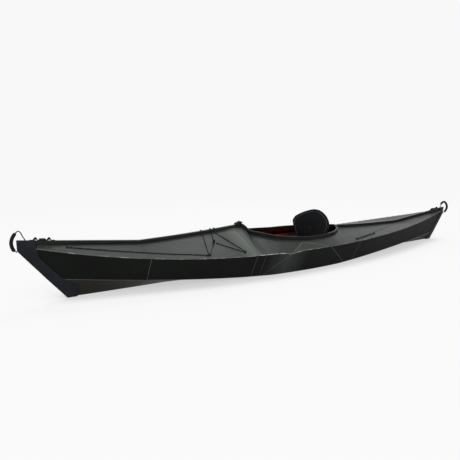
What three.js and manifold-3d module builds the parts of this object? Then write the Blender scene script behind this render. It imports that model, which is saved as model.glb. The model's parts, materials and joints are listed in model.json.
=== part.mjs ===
// Folding kayak, set up for the water: a creased sheet hull, held shut by seam channels, a coaming
// rim and two end fairings. Millimetres, +X towards the bow, +Y to port, +Z up. The origin is on
// the floor under the middle of the hull.

import * as THREE from 'three';
import { mergeVertices } from 'three/addons/utils/BufferGeometryUtils.js';
import Module from 'manifold-3d';

// Overall hull
const bowReach = 1865;
const sternReach = 1895;
const beam = 635;
const chineBeam = 498;
const sheetThickness = 5;
const bowRake = 240;
const sternRake = 182;
const bowKneeHeight = 300;
const sternKneeHeight = 236;
const keelLift = 5;
const flatReach = 260;

// Heights of the sheer and the chine above the floor, amidships and at the two stems
const sheerHeight = 163;
const bowSheerHeight = 330;
const sternSheerHeight = 272;
const bowChineHeight = 126;
const sternChineHeight = 69;
const sheerDip = 14;
const sheerDipReach = 92;

// Powers of the lengthwise curves, and where the end panels stop
const sheerPlanShare = 2.21;
const chinePlanShare = 1.585;
const bowSheerLiftShare = 2.58;
const sternSheerLiftShare = 1.88;
const bowChineLiftShare = 1.45;
const sternChineLiftShare = 1.05;
const keelLiftShare = 6;
const endStationShare = 0.92;

// Deck ridge, at the foot of its upright flanges
const peakHeight = 310;
const foreRidgeHeight = 271;
const bowRidgeHeight = 339;
const coamingBackHeight = 224;
const aftRidgeHeight = 203;
const sternRidgeHeight = 274;
const ridgeSag = 6;

// Places of the creases, along the hull from its middle
const foreCockpitCrease = 500;
const aftCockpitCrease = 362;
const forePanelShare = 0.5055;
const aftPanelShare = 0.5407;
const aftDeckCreaseSlant = 140;
const gussetForeChine = 420;
const gussetForeSheer = 240;
const gussetAftSheer = 114;
const gussetAftChine = 329;
const gussetApex = 85;
const panelStep = 60;
const fineStart = 1480;
const nearShare = 0.25;
const fanStartShare = 0.4;
const fanEndShare = 0.6;
const searchSteps = 40;

// Edges of the fairings: height shares and setbacks behind the stem
const bowFairingEdgeShares = [
  [-0.06, 0.45], [0, 0.49], [0.12, 0.95], [0.22, 1.12], [0.29, 0.88], [0.4, 0.68],
  [0.57, 0.66], [0.76, 0.68], [0.92, 0.86], [1, 0.89], [1.2, 0.89],
];
const sternFairingEdgeShares = [
  [-0.06, 0.9], [0.1, 1.08], [0.3, 0.95], [0.86, 0.95], [1, 0.95], [1.25, 0.95],
];

// Clearances
const fitGap = 0.3;
const slantGap = 0.7;
const looseGap = 1;
const pinGap = 0.1;
const overrun = 60;
const floorGap = 1.3;
const foreBulkheadGap = 2.4;
const aftBulkheadGap = 1.9;
const padGap = 1.2;
const coatReach = 4;
const coatDepth = 6;
const coreDepth = 1.5;

// Upright flanges on the deck edges, and the channels that hold them
const flangeHeight = 18;
const flangeRootShare = 0.62;
const channelWall = 3;
const channelBevel = 1.6;
const innerCorners = 4;

// Cockpit opening and its rim
const cockpitFront = 449;
const cockpitBack = 450;
const cockpitWidth = 452;
const coamingHeight = 210;
const rimWall = 6;
const rimBevel = 3;
const rimFootGap = 2.2;
const cockpitSteps = 22;

// Clip at the peak of the coaming
const channelInset = 14;
const clipWidth = 24;
const clipReach = 30;
const clipLap = 24;
const clipPlate = 4;
const clipCrown = 14;
const clipGap = 1.3;

// End fairings
const fairingWall = 2.5;
const fairingNose = 7;
const fairingKeelHalf = 6;
const fairingTopHalf = 9;
const fairingNoseReach = 5;
const bowFairingWidth = 100;
const sternFairingWidth = 66;
const fairingStartShare = 0.7;
const coreStartShare = 0.5;
const coreEndShare = 0.93;
const coreSteps = 16;
const fairingStepShare = 0.033;
const fairingGrowShare = 0.88;
const kneeBlendShare = 24;
const noseNarrowShare = 0.5;

// Webbing straps and buckles on the two ends of the ridge
const ridgeStrapWidth = 18;
const webbingThickness = 1.6;
const strapLoopHeight = 9;
const strapLoopLength = 30;
const bowStrapStart = 60;
const sternStrapStart = 72;
const ridgeStrapLength = 130;
const buckleLength = 34;
const buckleWidth = 25;
const buckleHeight = 8;
const buckleBevel = 3;
const strapSteps = 60;

// Inner pieces: bulkheads and floorboard
const bulkheadThickness = 5;
const bulkheadSetback = 75;
const floorThickness = 5;
const floorFore = 600;
const floorAft = 560;
const floorWidthShare = 0.86;
const floorNoseShare = 0.45;
const floorTaper = 240;
const floorWallFore = 100;
const floorWallAft = 400;
const floorWallHeight = 152;
const floorWallLean = 7;

// Seat pan and seat pad
const seatFront = 182;
const seatWidth = 340;
const seatCorner = 40;
const panThickness = 6;
const padHeight = 26;
const padCrownHeight = 9;
const padRear = 150;
const cushionSides = 32;
const cushionPower = 5;

// Rings of the seat cushion: reach shares, shares of its edge height and of its crown
const cushionProfileShares = [
  [0.93, 0, 0], [0.985, 0.2, 0], [1, 0.5, 0], [0.985, 0.8, 0], [0.93, 1, 0],
  [0.8, 1, 0.45], [0.55, 1, 0.85], [0.25, 1, 1],
];

// Backrest and its hinge
const hingeBehind = 212;
const hingeHeight = 70;
const hingeRod = 8;
const hingeEarSpacing = 250;
const hingeEarThickness = 6;
const hingeEarMargin = 7;
const rodHeadDiameter = 14;
const rodHeadThickness = 3;
const sleeveWall = 4;
const backrestHeight = 308;
const backrestWidth = 404;
const backrestRecline = 10;
const backrestLead = 45;
const shellThickness = 4;
const backPadEdge = 7;
const backPadCrown = 17;
const backPadSeamDepth = 3;
const backPadStart = 62;
const shellInset = 8;
const shellRows = 16;
const shellColumns = 14;
const padRows = 16;
const padColumns = 18;
const domePower = 4;
const seamPlaceShare = 0.8;
const seamSpreadShare = 0.13;
const roundSides = 20;

// Height shares and half-width shares of the backrest's outline
const backrestOutlineShares = [
  [0, 0.58], [0.11, 0.6], [0.2, 0.72], [0.32, 0.83], [0.48, 0.9], [0.58, 0.97], [0.66, 1],
  [0.76, 0.92], [0.85, 0.74], [0.92, 0.53], [0.97, 0.33], [1, 0.14],
];

// Foot brace and the straps to the sides
const footBarPlace = 620;
const footBarHeight = 100;
const footBarDiameter = 25;
const footBarLength = 376;
const footBarBore = 19;
const strapWidth = 25;
const footStrapAnchor = 235;
const footStrapLead = [13, -13, -60];
const backStrapAnchor = 140;
const strapAnchorHeight = 126;
const backStrapHeightShare = 0.3;

// Bends of the backrest's straps: shares of the way along and of the way out to the side
const backStrapBendShares = [[0.15, 0.12], [0.35, 0.34], [0.65, 0.64]];

// Grab handles at the two ends
const handleRope = 6;
const handleGrip = 20;
const handleBall = 7.5;
const handleStep = 11;

// Routes of the handles, from the stem to the top of the fairing: past the stem's end, above its knee
const bowHandleRoute = [
  [9, -2], [21, 10], [29, 34], [28, 60], [15, 88], [-7, 109], [-18, 102], [-25, 85], [-33, 68], [-37, 60],
];
const sternHandleRoute = [
  [9, 4], [35, 10], [57, 30], [65, 56], [50, 86], [17, 106], [-15, 102], [-35, 84], [-45, 66],
];
const bowGripShares = [0.06, 0.6];
const sternGripShares = [0.1, 0.88];

// Deck cords
const bungee = 5;
const aftCord = 7;
const cordStep = 30;
const turnRadius = 6;
const turnSteps = 5;
const cordSides = 8;
const cordRest = 0.5;
const cornerShare = 0.6;
const ridgeClear = 22;
const lockDiameter = 14;
const lockHeight = 19;
const lockCordLift = 5.2;
const buttonDiameter = 9;
const buttonLength = 13;
const buttonProud = 6;
const buttonBoreDepth = 11;

// Routes of the deck cords on the port side: shares of the reach and of the half breadth there
const foreAnchorShares = [0.444, 0.8613];
const aftAnchorShares = [0.3126, 0.8527];
const knotShares = [0.392, 0.4181];
const ridgeCrossingShares = [0.408, 0.371, 0.3555];
const sideLineShares = [
  [0.4515, 0.8716], [0.4901, 0.8259], [0.5694, 0.7477], [0.6434, 0.6475], [0.719, 0.5903],
  [0.8043, 0.5111], [0.8686, 0.4239],
];
const aftCordShares = [[0.2237, 0.8729], [0.2639, 0.8444], [0.3113, 0.8043], [0.3536, 0.7668]];

// The opening's outline: length shares ahead of the middle, width shares and lift shares
const openingForeShares = [
  [1, 0, 1], [0.957, 0.1, 0.84], [0.913, 0.2, 0.56], [0.87, 0.29, 0.48], [0.8, 0.42, 0.42],
  [0.69, 0.59, 0.31], [0.56, 0.76, 0.2], [0.4, 0.885, 0.12], [0.22, 0.965, 0.05],
];
const openingAftShares = [
  [0.04, 1, 0], [-0.14, 0.987, 0], [-0.31, 0.942, 0], [-0.45, 0.89, 0.02], [-0.58, 0.8, 0.05],
  [-0.71, 0.66, 0.1], [-0.82, 0.5, 0.22], [-0.91, 0.32, 0.45], [-0.97, 0.14, 0.78], [-1, 0, 1],
];

const foreCrease = foreCockpitCrease + forePanelShare * (bowReach - foreCockpitCrease);
const aftCrease = aftCockpitCrease + aftPanelShare * (sternReach - aftCockpitCrease);
const ridgeFootY = sheetThickness + fitGap / 2;

// Colours of the real materials
const colours = {
  deck: { color: 0x3c403b, roughness: 0.5, metalness: 0 },
  side: { color: 0x161715, roughness: 0.45, metalness: 0 },
  bottom: { color: 0x35352c, roughness: 0.5, metalness: 0 },
  fairing: { color: 0x1c1c22, roughness: 0.7, metalness: 0 },
  channel: { color: 0x33352f, roughness: 0.45, metalness: 0 },
  rim: { color: 0x101111, roughness: 0.55, metalness: 0 },
  floor: { color: 0xc8101c, roughness: 0.5, metalness: 0 },
  fabric: { color: 0x0d0d10, roughness: 0.95, metalness: 0 },
  webbing: { color: 0x0b0b0c, roughness: 0.9, metalness: 0 },
  cord: { color: 0x121314, roughness: 0.85, metalness: 0 },
  plastic: { color: 0x141414, roughness: 0.5, metalness: 0 },
  tube: { color: 0x8d9092, roughness: 0.35, metalness: 0.9 },
  foam: { color: 0x1a1a1a, roughness: 0.95, metalness: 0 },
};

const kayak = new THREE.Group();
kayak.name = 'folding_kayak';

const wasm = await Module();
wasm.setup();

// Small helpers

function at(x, y, z) {
  return new THREE.Vector3(x, y, z);
}

function mix(a, b, share) {
  return a + (b - a) * share;
}

function mirrored(point) {
  return at(point.x, -point.y, point.z);
}

function steps(count) {
  return Array.from({ length: count + 1 }, (_, i) => i / count);
}

function makeMaterial(kind) {
  return new THREE.MeshStandardMaterial(colours[kind]);
}

function addPiece(name, geometry, kind, parent = kayak) {
  const mesh = new THREE.Mesh(geometry, makeMaterial(kind));
  mesh.name = name;
  parent.add(mesh);
  return mesh;
}

// A closed body from corner points and triangles: equal corners are merged, and it faces out
function closedBody(points, triangles) {
  const positions = points.flatMap((p) => [p.x, p.y, p.z]);
  const raw = new THREE.BufferGeometry();
  raw.setAttribute('position', new THREE.Float32BufferAttribute(positions, 3));
  raw.setIndex(triangles.flat());
  const merged = mergeVertices(raw);
  const index = merged.getIndex().array;
  const corner = (i) => new THREE.Vector3().fromBufferAttribute(merged.getAttribute('position'), i);
  const kept = [];
  let volume = 0;
  for (let i = 0; i < index.length; i += 3) {
    const [a, b, c] = [index[i], index[i + 1], index[i + 2]];
    if (a !== b && b !== c && c !== a) {
      kept.push([a, b, c]);
      volume += corner(a).dot(corner(b).cross(corner(c)));
    }
  }
  merged.setIndex(kept.map((t) => (volume < 0 ? [t[0], t[2], t[1]] : t)).flat());
  merged.computeVertexNormals();
  return merged;
}

// Triangles between two rows of points; the row whose next share comes first moves on
function zipped(low, high) {
  const triangles = [];
  let [i, j] = [0, 0];
  while (i + 1 < low.length || j + 1 < high.length) {
    const lowNext = i + 1 < low.length ? low[i + 1].share : Infinity;
    const highNext = j + 1 < high.length ? high[j + 1].share : Infinity;
    if (lowNext <= highNext) {
      triangles.push([['low', i], ['low', i + 1], ['high', j]]);
      i += 1;
    } else {
      triangles.push([['low', i], ['high', j + 1], ['high', j]]);
      j += 1;
    }
  }
  return triangles;
}

// A folded sheet: each line is a row of points along a crease or an edge, outside and inside
function sheetBody(lines) {
  const starts = [];
  const points = [];
  for (const line of lines) {
    starts.push(points.length);
    points.push(...line.flatMap((point) => [point.outer, point.inner]));
  }
  const outer = (line, i) => starts[line] + 2 * i;
  const inner = (line, i) => outer(line, i) + 1;
  const triangles = [];
  const quad = (a, b, c, d) => triangles.push([a, b, c], [a, c, d]);
  for (let line = 0; line + 1 < lines.length; line += 1) {
    const row = { low: line, high: line + 1 };
    for (const triangle of zipped(lines[line], lines[line + 1])) {
      const [a, b, c] = triangle.map(([key, i]) => outer(row[key], i));
      triangles.push([a, b, c], [a + 1, c + 1, b + 1]);
    }
    const [lowEnd, highEnd] = [lines[line].length - 1, lines[line + 1].length - 1];
    quad(outer(line, 0), outer(line + 1, 0), inner(line + 1, 0), inner(line, 0));
    quad(outer(line, lowEnd), inner(line, lowEnd), inner(line + 1, highEnd), outer(line + 1, highEnd));
  }
  const last = lines.length - 1;
  for (let i = 0; i + 1 < lines[0].length; i += 1) {
    quad(outer(0, i), inner(0, i), inner(0, i + 1), outer(0, i + 1));
  }
  for (let i = 0; i + 1 < lines[last].length; i += 1) {
    quad(outer(last, i), outer(last, i + 1), inner(last, i + 1), inner(last, i));
  }
  return closedBody(points, triangles);
}

// A solid through closed loops of points; its ends are capped by the flat outline given
function loopBody(loops, capOutline) {
  const count = loops[0].length;
  const triangles = [];
  for (let r = 0; r + 1 < loops.length; r += 1) {
    for (let i = 0; i < count; i += 1) {
      const j = (i + 1) % count;
      const [a, b] = [r * count + i, r * count + j];
      triangles.push([a, b, b + count], [a, b + count, a + count]);
    }
  }
  const lastStart = (loops.length - 1) * count;
  for (const [a, b, c] of THREE.ShapeUtils.triangulateShape(capOutline, [])) {
    triangles.push([a, c, b], [lastStart + a, lastStart + b, lastStart + c]);
  }
  return closedBody(loops.flat(), triangles);
}

function toSolid(geometry) {
  const bare = geometry.clone();
  bare.deleteAttribute('normal');
  bare.deleteAttribute('uv');
  const merged = mergeVertices(bare);
  return new wasm.Manifold(new wasm.Mesh({
    numProp: 3,
    vertProperties: new Float32Array(merged.getAttribute('position').array),
    triVerts: new Uint32Array(merged.getIndex().array),
  }));
}

function fromSolid(solid) {
  const mesh = solid.getMesh();
  const geometry = new THREE.BufferGeometry();
  geometry.setAttribute('position', new THREE.BufferAttribute(mesh.vertProperties, 3));
  geometry.setIndex(new THREE.BufferAttribute(mesh.triVerts, 1));
  geometry.computeVertexNormals();
  return geometry;
}

function largest(solid) {
  return solid.decompose().reduce((best, next) => (next.volume() > best.volume() ? next : best));
}

// Lengthwise lines of the hull

const bow = {
  sign: 1,
  reach: bowReach,
  keelReach: bowReach - bowRake,
  rake: bowRake,
  height: bowKneeHeight,
  ridge: bowRidgeHeight,
  sheer: bowSheerHeight,
  chine: bowChineHeight,
  sheerLiftShare: bowSheerLiftShare,
  chineLiftShare: bowChineLiftShare,
  crease: foreCrease,
};

const stern = {
  sign: -1,
  reach: sternReach,
  keelReach: sternReach - sternRake,
  rake: sternRake,
  height: sternKneeHeight,
  ridge: sternRidgeHeight,
  sheer: sternSheerHeight,
  chine: sternChineHeight,
  sheerLiftShare: sternSheerLiftShare,
  chineLiftShare: sternChineLiftShare,
  crease: aftCrease,
};

function endOf(x) {
  return x >= 0 ? bow : stern;
}

function stemReach(end, height) {
  return end.keelReach + end.rake * Math.min(1, height / end.height);
}

function stemPoint(x) {
  const end = endOf(x);
  return at(x, 0, end.height * Math.max(0, Math.abs(x) - end.keelReach) / end.rake);
}

function keelPoint(x) {
  const end = endOf(x);
  const share = Math.min(1, Math.abs(x) / end.keelReach);
  return Math.abs(x) > end.keelReach ? stemPoint(x) : at(x, 0, keelLift * share ** keelLiftShare);
}

function chinePoint(x) {
  const end = endOf(x);
  const reach = stemReach(end, end.chine);
  if (Math.abs(x) >= reach) {
    return stemPoint(x);
  }
  const planShare = Math.abs(x) / reach;
  const liftShare = Math.max(0, Math.abs(x) - flatReach) / (reach - flatReach);
  const y = chineBeam / 2 * (1 - planShare ** chinePlanShare);
  return at(x, y, end.chine * liftShare ** end.chineLiftShare);
}

function sheerPoint(x) {
  const end = endOf(x);
  const share = Math.min(1, Math.abs(x) / stemReach(end, end.sheer));
  const dipShare = Math.max(0, 1 - Math.abs(x - gussetForeSheer) / sheerDipReach);
  const dip = sheerDip * THREE.MathUtils.smoothstep(dipShare, 0, 1);
  const y = beam / 2 * (1 - share ** sheerPlanShare);
  return at(x, y, mix(sheerHeight, end.sheer, share ** end.sheerLiftShare) - dip);
}

function ridgeHeight(x) {
  const ahead = x >= 0;
  const [start, crease] = ahead ? [cockpitFront, foreCrease] : [cockpitBack, aftCrease];
  const [high, low, tip] = ahead
    ? [peakHeight, foreRidgeHeight, bowRidgeHeight]
    : [coamingBackHeight, aftRidgeHeight, sternRidgeHeight];
  const reach = Math.abs(x);
  if (reach <= crease) {
    const share = (reach - start) / (crease - start);
    return mix(high, low, share) - ridgeSag * Math.sin(share * Math.PI);
  }
  return mix(low, tip, (reach - crease) / (endOf(x).reach - crease));
}

function ridgePoint(x) {
  return at(x, ridgeFootY, ridgeHeight(x));
}

// The inner side of the sheet, mitred at each crease in the plane across the hull

function inwardNormal(from, to) {
  const length = Math.hypot(to.y - from.y, to.z - from.z);
  return { y: -(to.z - from.z) / length, z: (to.y - from.y) / length };
}

function mitre(before, point, after, distance) {
  const a = inwardNormal(before, point);
  const b = inwardNormal(point, after);
  const scale = distance / (1 + a.y * b.y + a.z * b.z);
  return at(point.x, point.y + (a.y + b.y) * scale, point.z + (a.z + b.z) * scale);
}

// The deck's inner edge in the plane across the hull: the ridge, or the cockpit opening
function deckEdgeNear(x) {
  const wide = at(x, cockpitWidth / 2, coamingHeight);
  return x < cockpitFront && x > -cockpitBack ? wide : ridgePoint(x);
}

function section(x) {
  return { keel: keelPoint(x), chine: chinePoint(x), sheer: sheerPoint(x), edge: deckEdgeNear(x) };
}

function keepToSide(point) {
  return at(point.x, Math.max(point.y, fitGap / 2), point.z);
}

function chineInside(x, depth = sheetThickness) {
  const s = section(x);
  return keepToSide(mitre(s.keel, s.chine, s.sheer, depth));
}

function sheerInside(x, depth = sheetThickness) {
  const s = section(x);
  return keepToSide(mitre(belowSheer(x), s.sheer, s.edge, depth));
}

function belowSheer(x) {
  const s = section(x);
  return s.chine.y > 0 ? s.chine : s.keel;
}

function keelInside(x, depth = sheetThickness) {
  const s = section(x);
  return mitre(mirrored(s.chine), s.keel, s.chine, depth);
}

// Stations along the hull: even steps, and every place where a crease meets a line

const creasePlaces = [
  foreCrease, foreCockpitCrease, gussetForeChine, gussetForeSheer,
  -gussetAftSheer, -gussetAftChine, -aftCockpitCrease, -aftCrease,
];
const evenCount = Math.floor((bowReach + sternReach) / panelStep);
const evenPlaces = Array.from({ length: evenCount }, (_, i) => bowReach - (i + 1) * panelStep);
const clearOfCreases = (x) => creasePlaces.every((place) => Math.abs(place - x) > panelStep * nearShare);
const finePlaces = evenPlaces.filter((x) => Math.abs(x) > fineStart).map((x) => x - panelStep / 2);
const stations = [...creasePlaces, ...evenPlaces.filter(clearOfCreases), ...finePlaces].sort((a, b) => a - b);

function placesBetween(a, b) {
  const [low, high] = [Math.min(a, b), Math.max(a, b)];
  const inside = stations.filter((x) => x > low + slantGap && x < high - slantGap);
  return [a, ...(a < b ? inside : inside.reverse()), b];
}

function lineBetween(a, b, pointAt) {
  return placesBetween(a, b).map((x) => ({ ...pointAt(x), share: (x - a) / (b - a) }));
}

// Hull panels

// A point on a crease, drawn back from it by half a fit gap towards the panel's other edge
function drawnBack(outer, inner, towards) {
  const step = towards.clone().sub(outer).setX(0).setLength(fitGap / 2);
  return { outer: outer.clone().add(step), inner: inner.clone().add(step) };
}

const bottomChine = (x) => drawnBack(chinePoint(x), chineInside(x), section(x).keel);
const sideChine = (x) => drawnBack(chinePoint(x), chineInside(x), section(x).sheer);
const sideSheer = (x) => drawnBack(sheerPoint(x), sheerInside(x), belowSheer(x));
const deckSheer = (x) => drawnBack(sheerPoint(x), sheerInside(x), section(x).edge);
const keelFold = (x) => ({ outer: keelPoint(x), inner: keelInside(x) });

function flip(pointAt) {
  return (x) => {
    const point = pointAt(x);
    return { outer: mirrored(point.outer), inner: mirrored(point.inner) };
  };
}

function mirroredLines(lines) {
  return lines.map((line) => line.map((point) => (
    { outer: mirrored(point.outer), inner: mirrored(point.inner), share: point.share })));
}

function addPair(name, lines, kind) {
  addPiece(`${name}_port`, sheetBody(lines), kind);
  addPiece(`${name}_starboard`, sheetBody(mirroredLines(lines)), kind);
}

function bottomLines(keel, chine) {
  return [
    lineBetween(...chine, bottomChine),
    lineBetween(...keel, keelFold),
    lineBetween(...chine, flip(bottomChine)),
  ];
}

function sideLines(chine, sheer) {
  return [lineBetween(...chine, sideChine), lineBetween(...sheer, sideSheer)];
}

// The upright flange along a deck edge: its foot line and its top line
function flangeLines(path, inward, shares) {
  const up = at(0, 0, flangeHeight);
  const root = at(0, 0, -sheetThickness * flangeRootShare);
  const back = path.map((foot, i) => foot.clone().addScaledVector(inward[i], sheetThickness));
  return [
    path.map((foot, i) => ({ outer: foot, inner: back[i].clone().add(root), share: shares[i] })),
    path.map((foot, i) => ({ outer: foot.clone().add(up), inner: back[i].clone().add(up), share: shares[i] })),
  ];
}

function ridgeDeckLines(sheer, ridge) {
  const places = placesBetween(...ridge);
  const shares = places.map((x) => (x - ridge[0]) / (ridge[1] - ridge[0]));
  const inward = places.map(() => at(0, -1, 0));
  return [lineBetween(...sheer, deckSheer), ...flangeLines(places.map(ridgePoint), inward, shares)];
}

// The edge of the opening, from the ridge ahead of it, round the port side, to the ridge behind it

function openingPoint([lengthShare, widthShare, liftShare]) {
  const length = lengthShare >= 0 ? cockpitFront : cockpitBack;
  const end = lengthShare >= 0 ? peakHeight : coamingBackHeight;
  const y = mix(ridgeFootY, cockpitWidth / 2, widthShare);
  return at(lengthShare * length, y, mix(coamingHeight, end, liftShare));
}

const openingCurve = new THREE.CatmullRomCurve3(
  [...openingForeShares, ...openingAftShares].map(openingPoint), false, 'centripetal');

function openingShareAt(x) {
  let [low, high] = [0, 1];
  for (let i = 0; i < searchSteps; i += 1) {
    const middle = (low + high) / 2;
    [low, high] = openingCurve.getPoint(middle).x > x ? [middle, high] : [low, middle];
  }
  return low;
}

const apexShare = openingShareAt(gussetApex);
const openingFore = steps(cockpitSteps).map((s) => openingCurve.getPoint(s * apexShare));
const openingAft = steps(cockpitSteps).map((s) => openingCurve.getPoint(mix(apexShare, 1, s)));

// Sideways offset for each point of a path seen from above, mitred at its corners
function pathOffsets(path) {
  const normals = path.slice(1).map((point, i) => {
    const step = point.clone().sub(path[i]).setZ(0).normalize();
    return at(-step.y, step.x, 0);
  });
  return path.map((_, i) => {
    const before = normals[Math.max(0, i - 1)];
    const after = normals[Math.min(normals.length - 1, i)];
    return before.clone().add(after).divideScalar(1 + before.dot(after));
  });
}

function pathShares(path) {
  const lengths = path.map((p, i) => (i === 0 ? 0 : p.distanceTo(path[i - 1])));
  const sums = lengths.map((_, i) => lengths.slice(0, i + 1).reduce((a, b) => a + b, 0));
  return sums.map((sum) => sum / sums[sums.length - 1]);
}

// The cockpit deck: a flat facet fans out from the apex on the opening's edge to the gusset below
const aftRidgeStart = aftCockpitCrease + aftDeckCreaseSlant;
const deckEdgeFore = [ridgePoint(foreCockpitCrease - fitGap / 2), ...openingFore];
const deckEdgeAft = [...openingAft, ridgePoint(-aftRidgeStart + fitGap / 2)];

function cockpitDeckLines() {
  const [foreEnd, aftEnd] = [foreCockpitCrease - fitGap / 2, -aftCockpitCrease + fitGap / 2];
  const foreShares = pathShares(deckEdgeFore).map((share) => share * fanStartShare);
  const aftShares = pathShares(deckEdgeAft).slice(1).map((share) => mix(fanEndShare, 1, share));
  const sheerShare = (x) => {
    if (x >= gussetForeSheer) {
      return fanStartShare * (foreEnd - x) / (foreEnd - gussetForeSheer);
    }
    if (x >= -gussetAftSheer) {
      return mix(fanStartShare, fanEndShare, (gussetForeSheer - x) / (gussetForeSheer + gussetAftSheer));
    }
    return mix(fanEndShare, 1, (-gussetAftSheer - x) / (-gussetAftSheer - aftEnd));
  };
  const path = [...deckEdgeFore, ...deckEdgeAft.slice(1)];
  const sheer = placesBetween(foreEnd, aftEnd).map((x) => ({ ...deckSheer(x), share: sheerShare(x) }));
  return [sheer, ...flangeLines(path, pathOffsets(path), [...foreShares, ...aftShares])];
}

function addHull() {
  const half = fitGap / 2;
  const slant = slantGap / 2;
  const foreSpan = [foreCrease - half, foreCockpitCrease + half];
  const aftSpan = [-aftCockpitCrease - half, -aftCrease + half];
  const midSpan = [foreCockpitCrease - half, -aftCockpitCrease + half];
  for (const [name, end] of [['bow', bow], ['stern', stern]]) {
    const [keel, chine] = [endSpan(end, end.keelReach), endSpan(end, stemReach(end, end.chine))];
    const [sheer, ridge] = [endSpan(end, stemReach(end, end.sheer)), endSpan(end, end.reach)];
    addPiece(`${name}_bottom_panel`, sheetBody(bottomLines(keel, chine)), 'bottom');
    addPair(`${name}_side_panel`, sideLines(chine, sheer), 'side');
    addPair(`${name}_deck_panel`, ridgeDeckLines(sheer, ridge), 'deck');
  }
  for (const [name, span] of [['fore', foreSpan], ['mid', midSpan], ['aft', aftSpan]]) {
    addPiece(`${name}_bottom_panel`, sheetBody(bottomLines(span, span)), 'bottom');
  }
  const foreSide = sideLines(
    [foreSpan[0], gussetForeChine + slant], [foreSpan[0], gussetForeSheer + slant]);
  const gusset = sideLines(
    [gussetForeChine - slant, -gussetAftChine + slant], [gussetForeSheer - slant, -gussetAftSheer + slant]);
  const aftSide = sideLines(
    [-gussetAftChine - slant, aftSpan[1]], [-gussetAftSheer - slant, aftSpan[1]]);
  addPair('fore_side_panel', foreSide, 'side');
  addPair('side_gusset', gusset, 'side');
  addPair('aft_side_panel', aftSide, 'side');
  addPair('fore_deck_panel', ridgeDeckLines(foreSpan, foreSpan), 'deck');
  addPair('cockpit_deck_panel', cockpitDeckLines(), 'deck');
  addPair('aft_deck_panel', ridgeDeckLines(aftSpan, [-aftRidgeStart - half, aftSpan[1]]), 'deck');
}

// Channels that slide over the two upright flanges along the ridge

const channelHalf = ridgeFootY + fitGap + channelWall;
const channelTop = flangeHeight + fitGap + channelWall;

// Outline of a cap over the flanges: half width inside, wall, height of its inside and its foot
function capOutline(innerHalf, wall, innerTop, foot, bevel) {
  const [half, top] = [innerHalf + wall, innerTop + wall];
  return [
    [half, foot], [half, top - bevel], [half - bevel, top], [bevel - half, top], [-half, top - bevel],
    [-half, foot], [-innerHalf, foot], [-innerHalf, innerTop], [innerHalf, innerTop], [innerHalf, foot],
  ].map(([u, v]) => new THREE.Vector2(u, v));
}

function ridgeLoops(outline, from, to) {
  return placesBetween(from, to).map((x) => outline.map(({ x: u, y: v }) => at(x, u, ridgeHeight(x) + v)));
}

function channelBody(from, to) {
  const outline = capOutline(
    ridgeFootY + fitGap, channelWall, flangeHeight + fitGap, fitGap, channelBevel);
  return loopBody(ridgeLoops(outline, from, to), outline);
}

function addChannels() {
  const setback = (edgeShares) => edgeShares[edgeShares.length - 1][1];
  const foreEnd = bowReach - bowFairingWidth * setback(bowFairingEdgeShares) - looseGap;
  const aftEnd = sternReach - sternFairingWidth * setback(sternFairingEdgeShares) - looseGap;
  addPiece('fore_seam_channel', channelBody(foreEnd, cockpitFront + channelInset), 'channel');
  addPiece('aft_seam_channel', channelBody(-cockpitBack - channelInset, -aftEnd), 'channel');
}

// The rim clips over the flange round the opening, in two halves

function coamingPath() {
  const path = [...openingFore, ...openingAft.slice(1)];
  const onCentre = (point, next) => {
    const share = point.y / (next.y - point.y);
    return point.clone().addScaledVector(next.clone().sub(point), -share);
  };
  const last = path.length - 1;
  return [onCentre(path[0], path[1]), ...path, onCentre(path[last], path[last - 1])];
}

function coamingBody() {
  const path = coamingPath();
  const offsets = pathOffsets(path);
  const last = path.length - 1;
  const endOffset = (point, next, sign) => (
    at(sign / Math.abs(next.clone().sub(point).setZ(0).normalize().y), 0, 0));
  offsets[0] = endOffset(path[0], path[1], -1);
  offsets[last] = endOffset(path[last], path[last - 1], 1);
  const outline = capOutline(
    sheetThickness / 2 + fitGap, rimWall, flangeHeight + fitGap, rimFootGap, rimBevel);
  const loops = path.map((foot, i) => outline.map(({ x: u, y: v }) => (
    foot.clone().addScaledVector(offsets[i], sheetThickness / 2 + u).add(at(0, 0, v)))));
  const whole = toSolid(loopBody(loops, outline));
  const cut = new THREE.BoxGeometry(2 * bowReach, overrun, 2 * bowReach);
  cut.translate(0, ridgeFootY + fitGap - overrun / 2, 0);
  return fromSolid(whole.subtract(toSolid(cut)));
}

function mirroredBody(geometry) {
  const copy = geometry.clone();
  copy.scale(1, -1, 1);
  const index = copy.getIndex();
  for (let i = 0; i < index.count; i += 3) {
    const second = index.getX(i + 1);
    index.setX(i + 1, index.getX(i + 2));
    index.setX(i + 2, second);
  }
  copy.computeVertexNormals();
  return copy;
}

function addMirrored(name, geometry, kind) {
  addPiece(`${name}_port`, geometry, kind);
  addPiece(`${name}_starboard`, mirroredBody(geometry), kind);
}

// A flat outline in the plane along the hull, given width across it
function plateAcross(points, width, y = 0) {
  const shape = new THREE.Shape(points.map(([x, z]) => new THREE.Vector2(x, z)));
  const geometry = new THREE.ExtrudeGeometry(shape, { depth: width, bevelEnabled: false });
  geometry.rotateX(Math.PI / 2);
  geometry.translate(0, y + width / 2, 0);
  return geometry;
}

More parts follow.
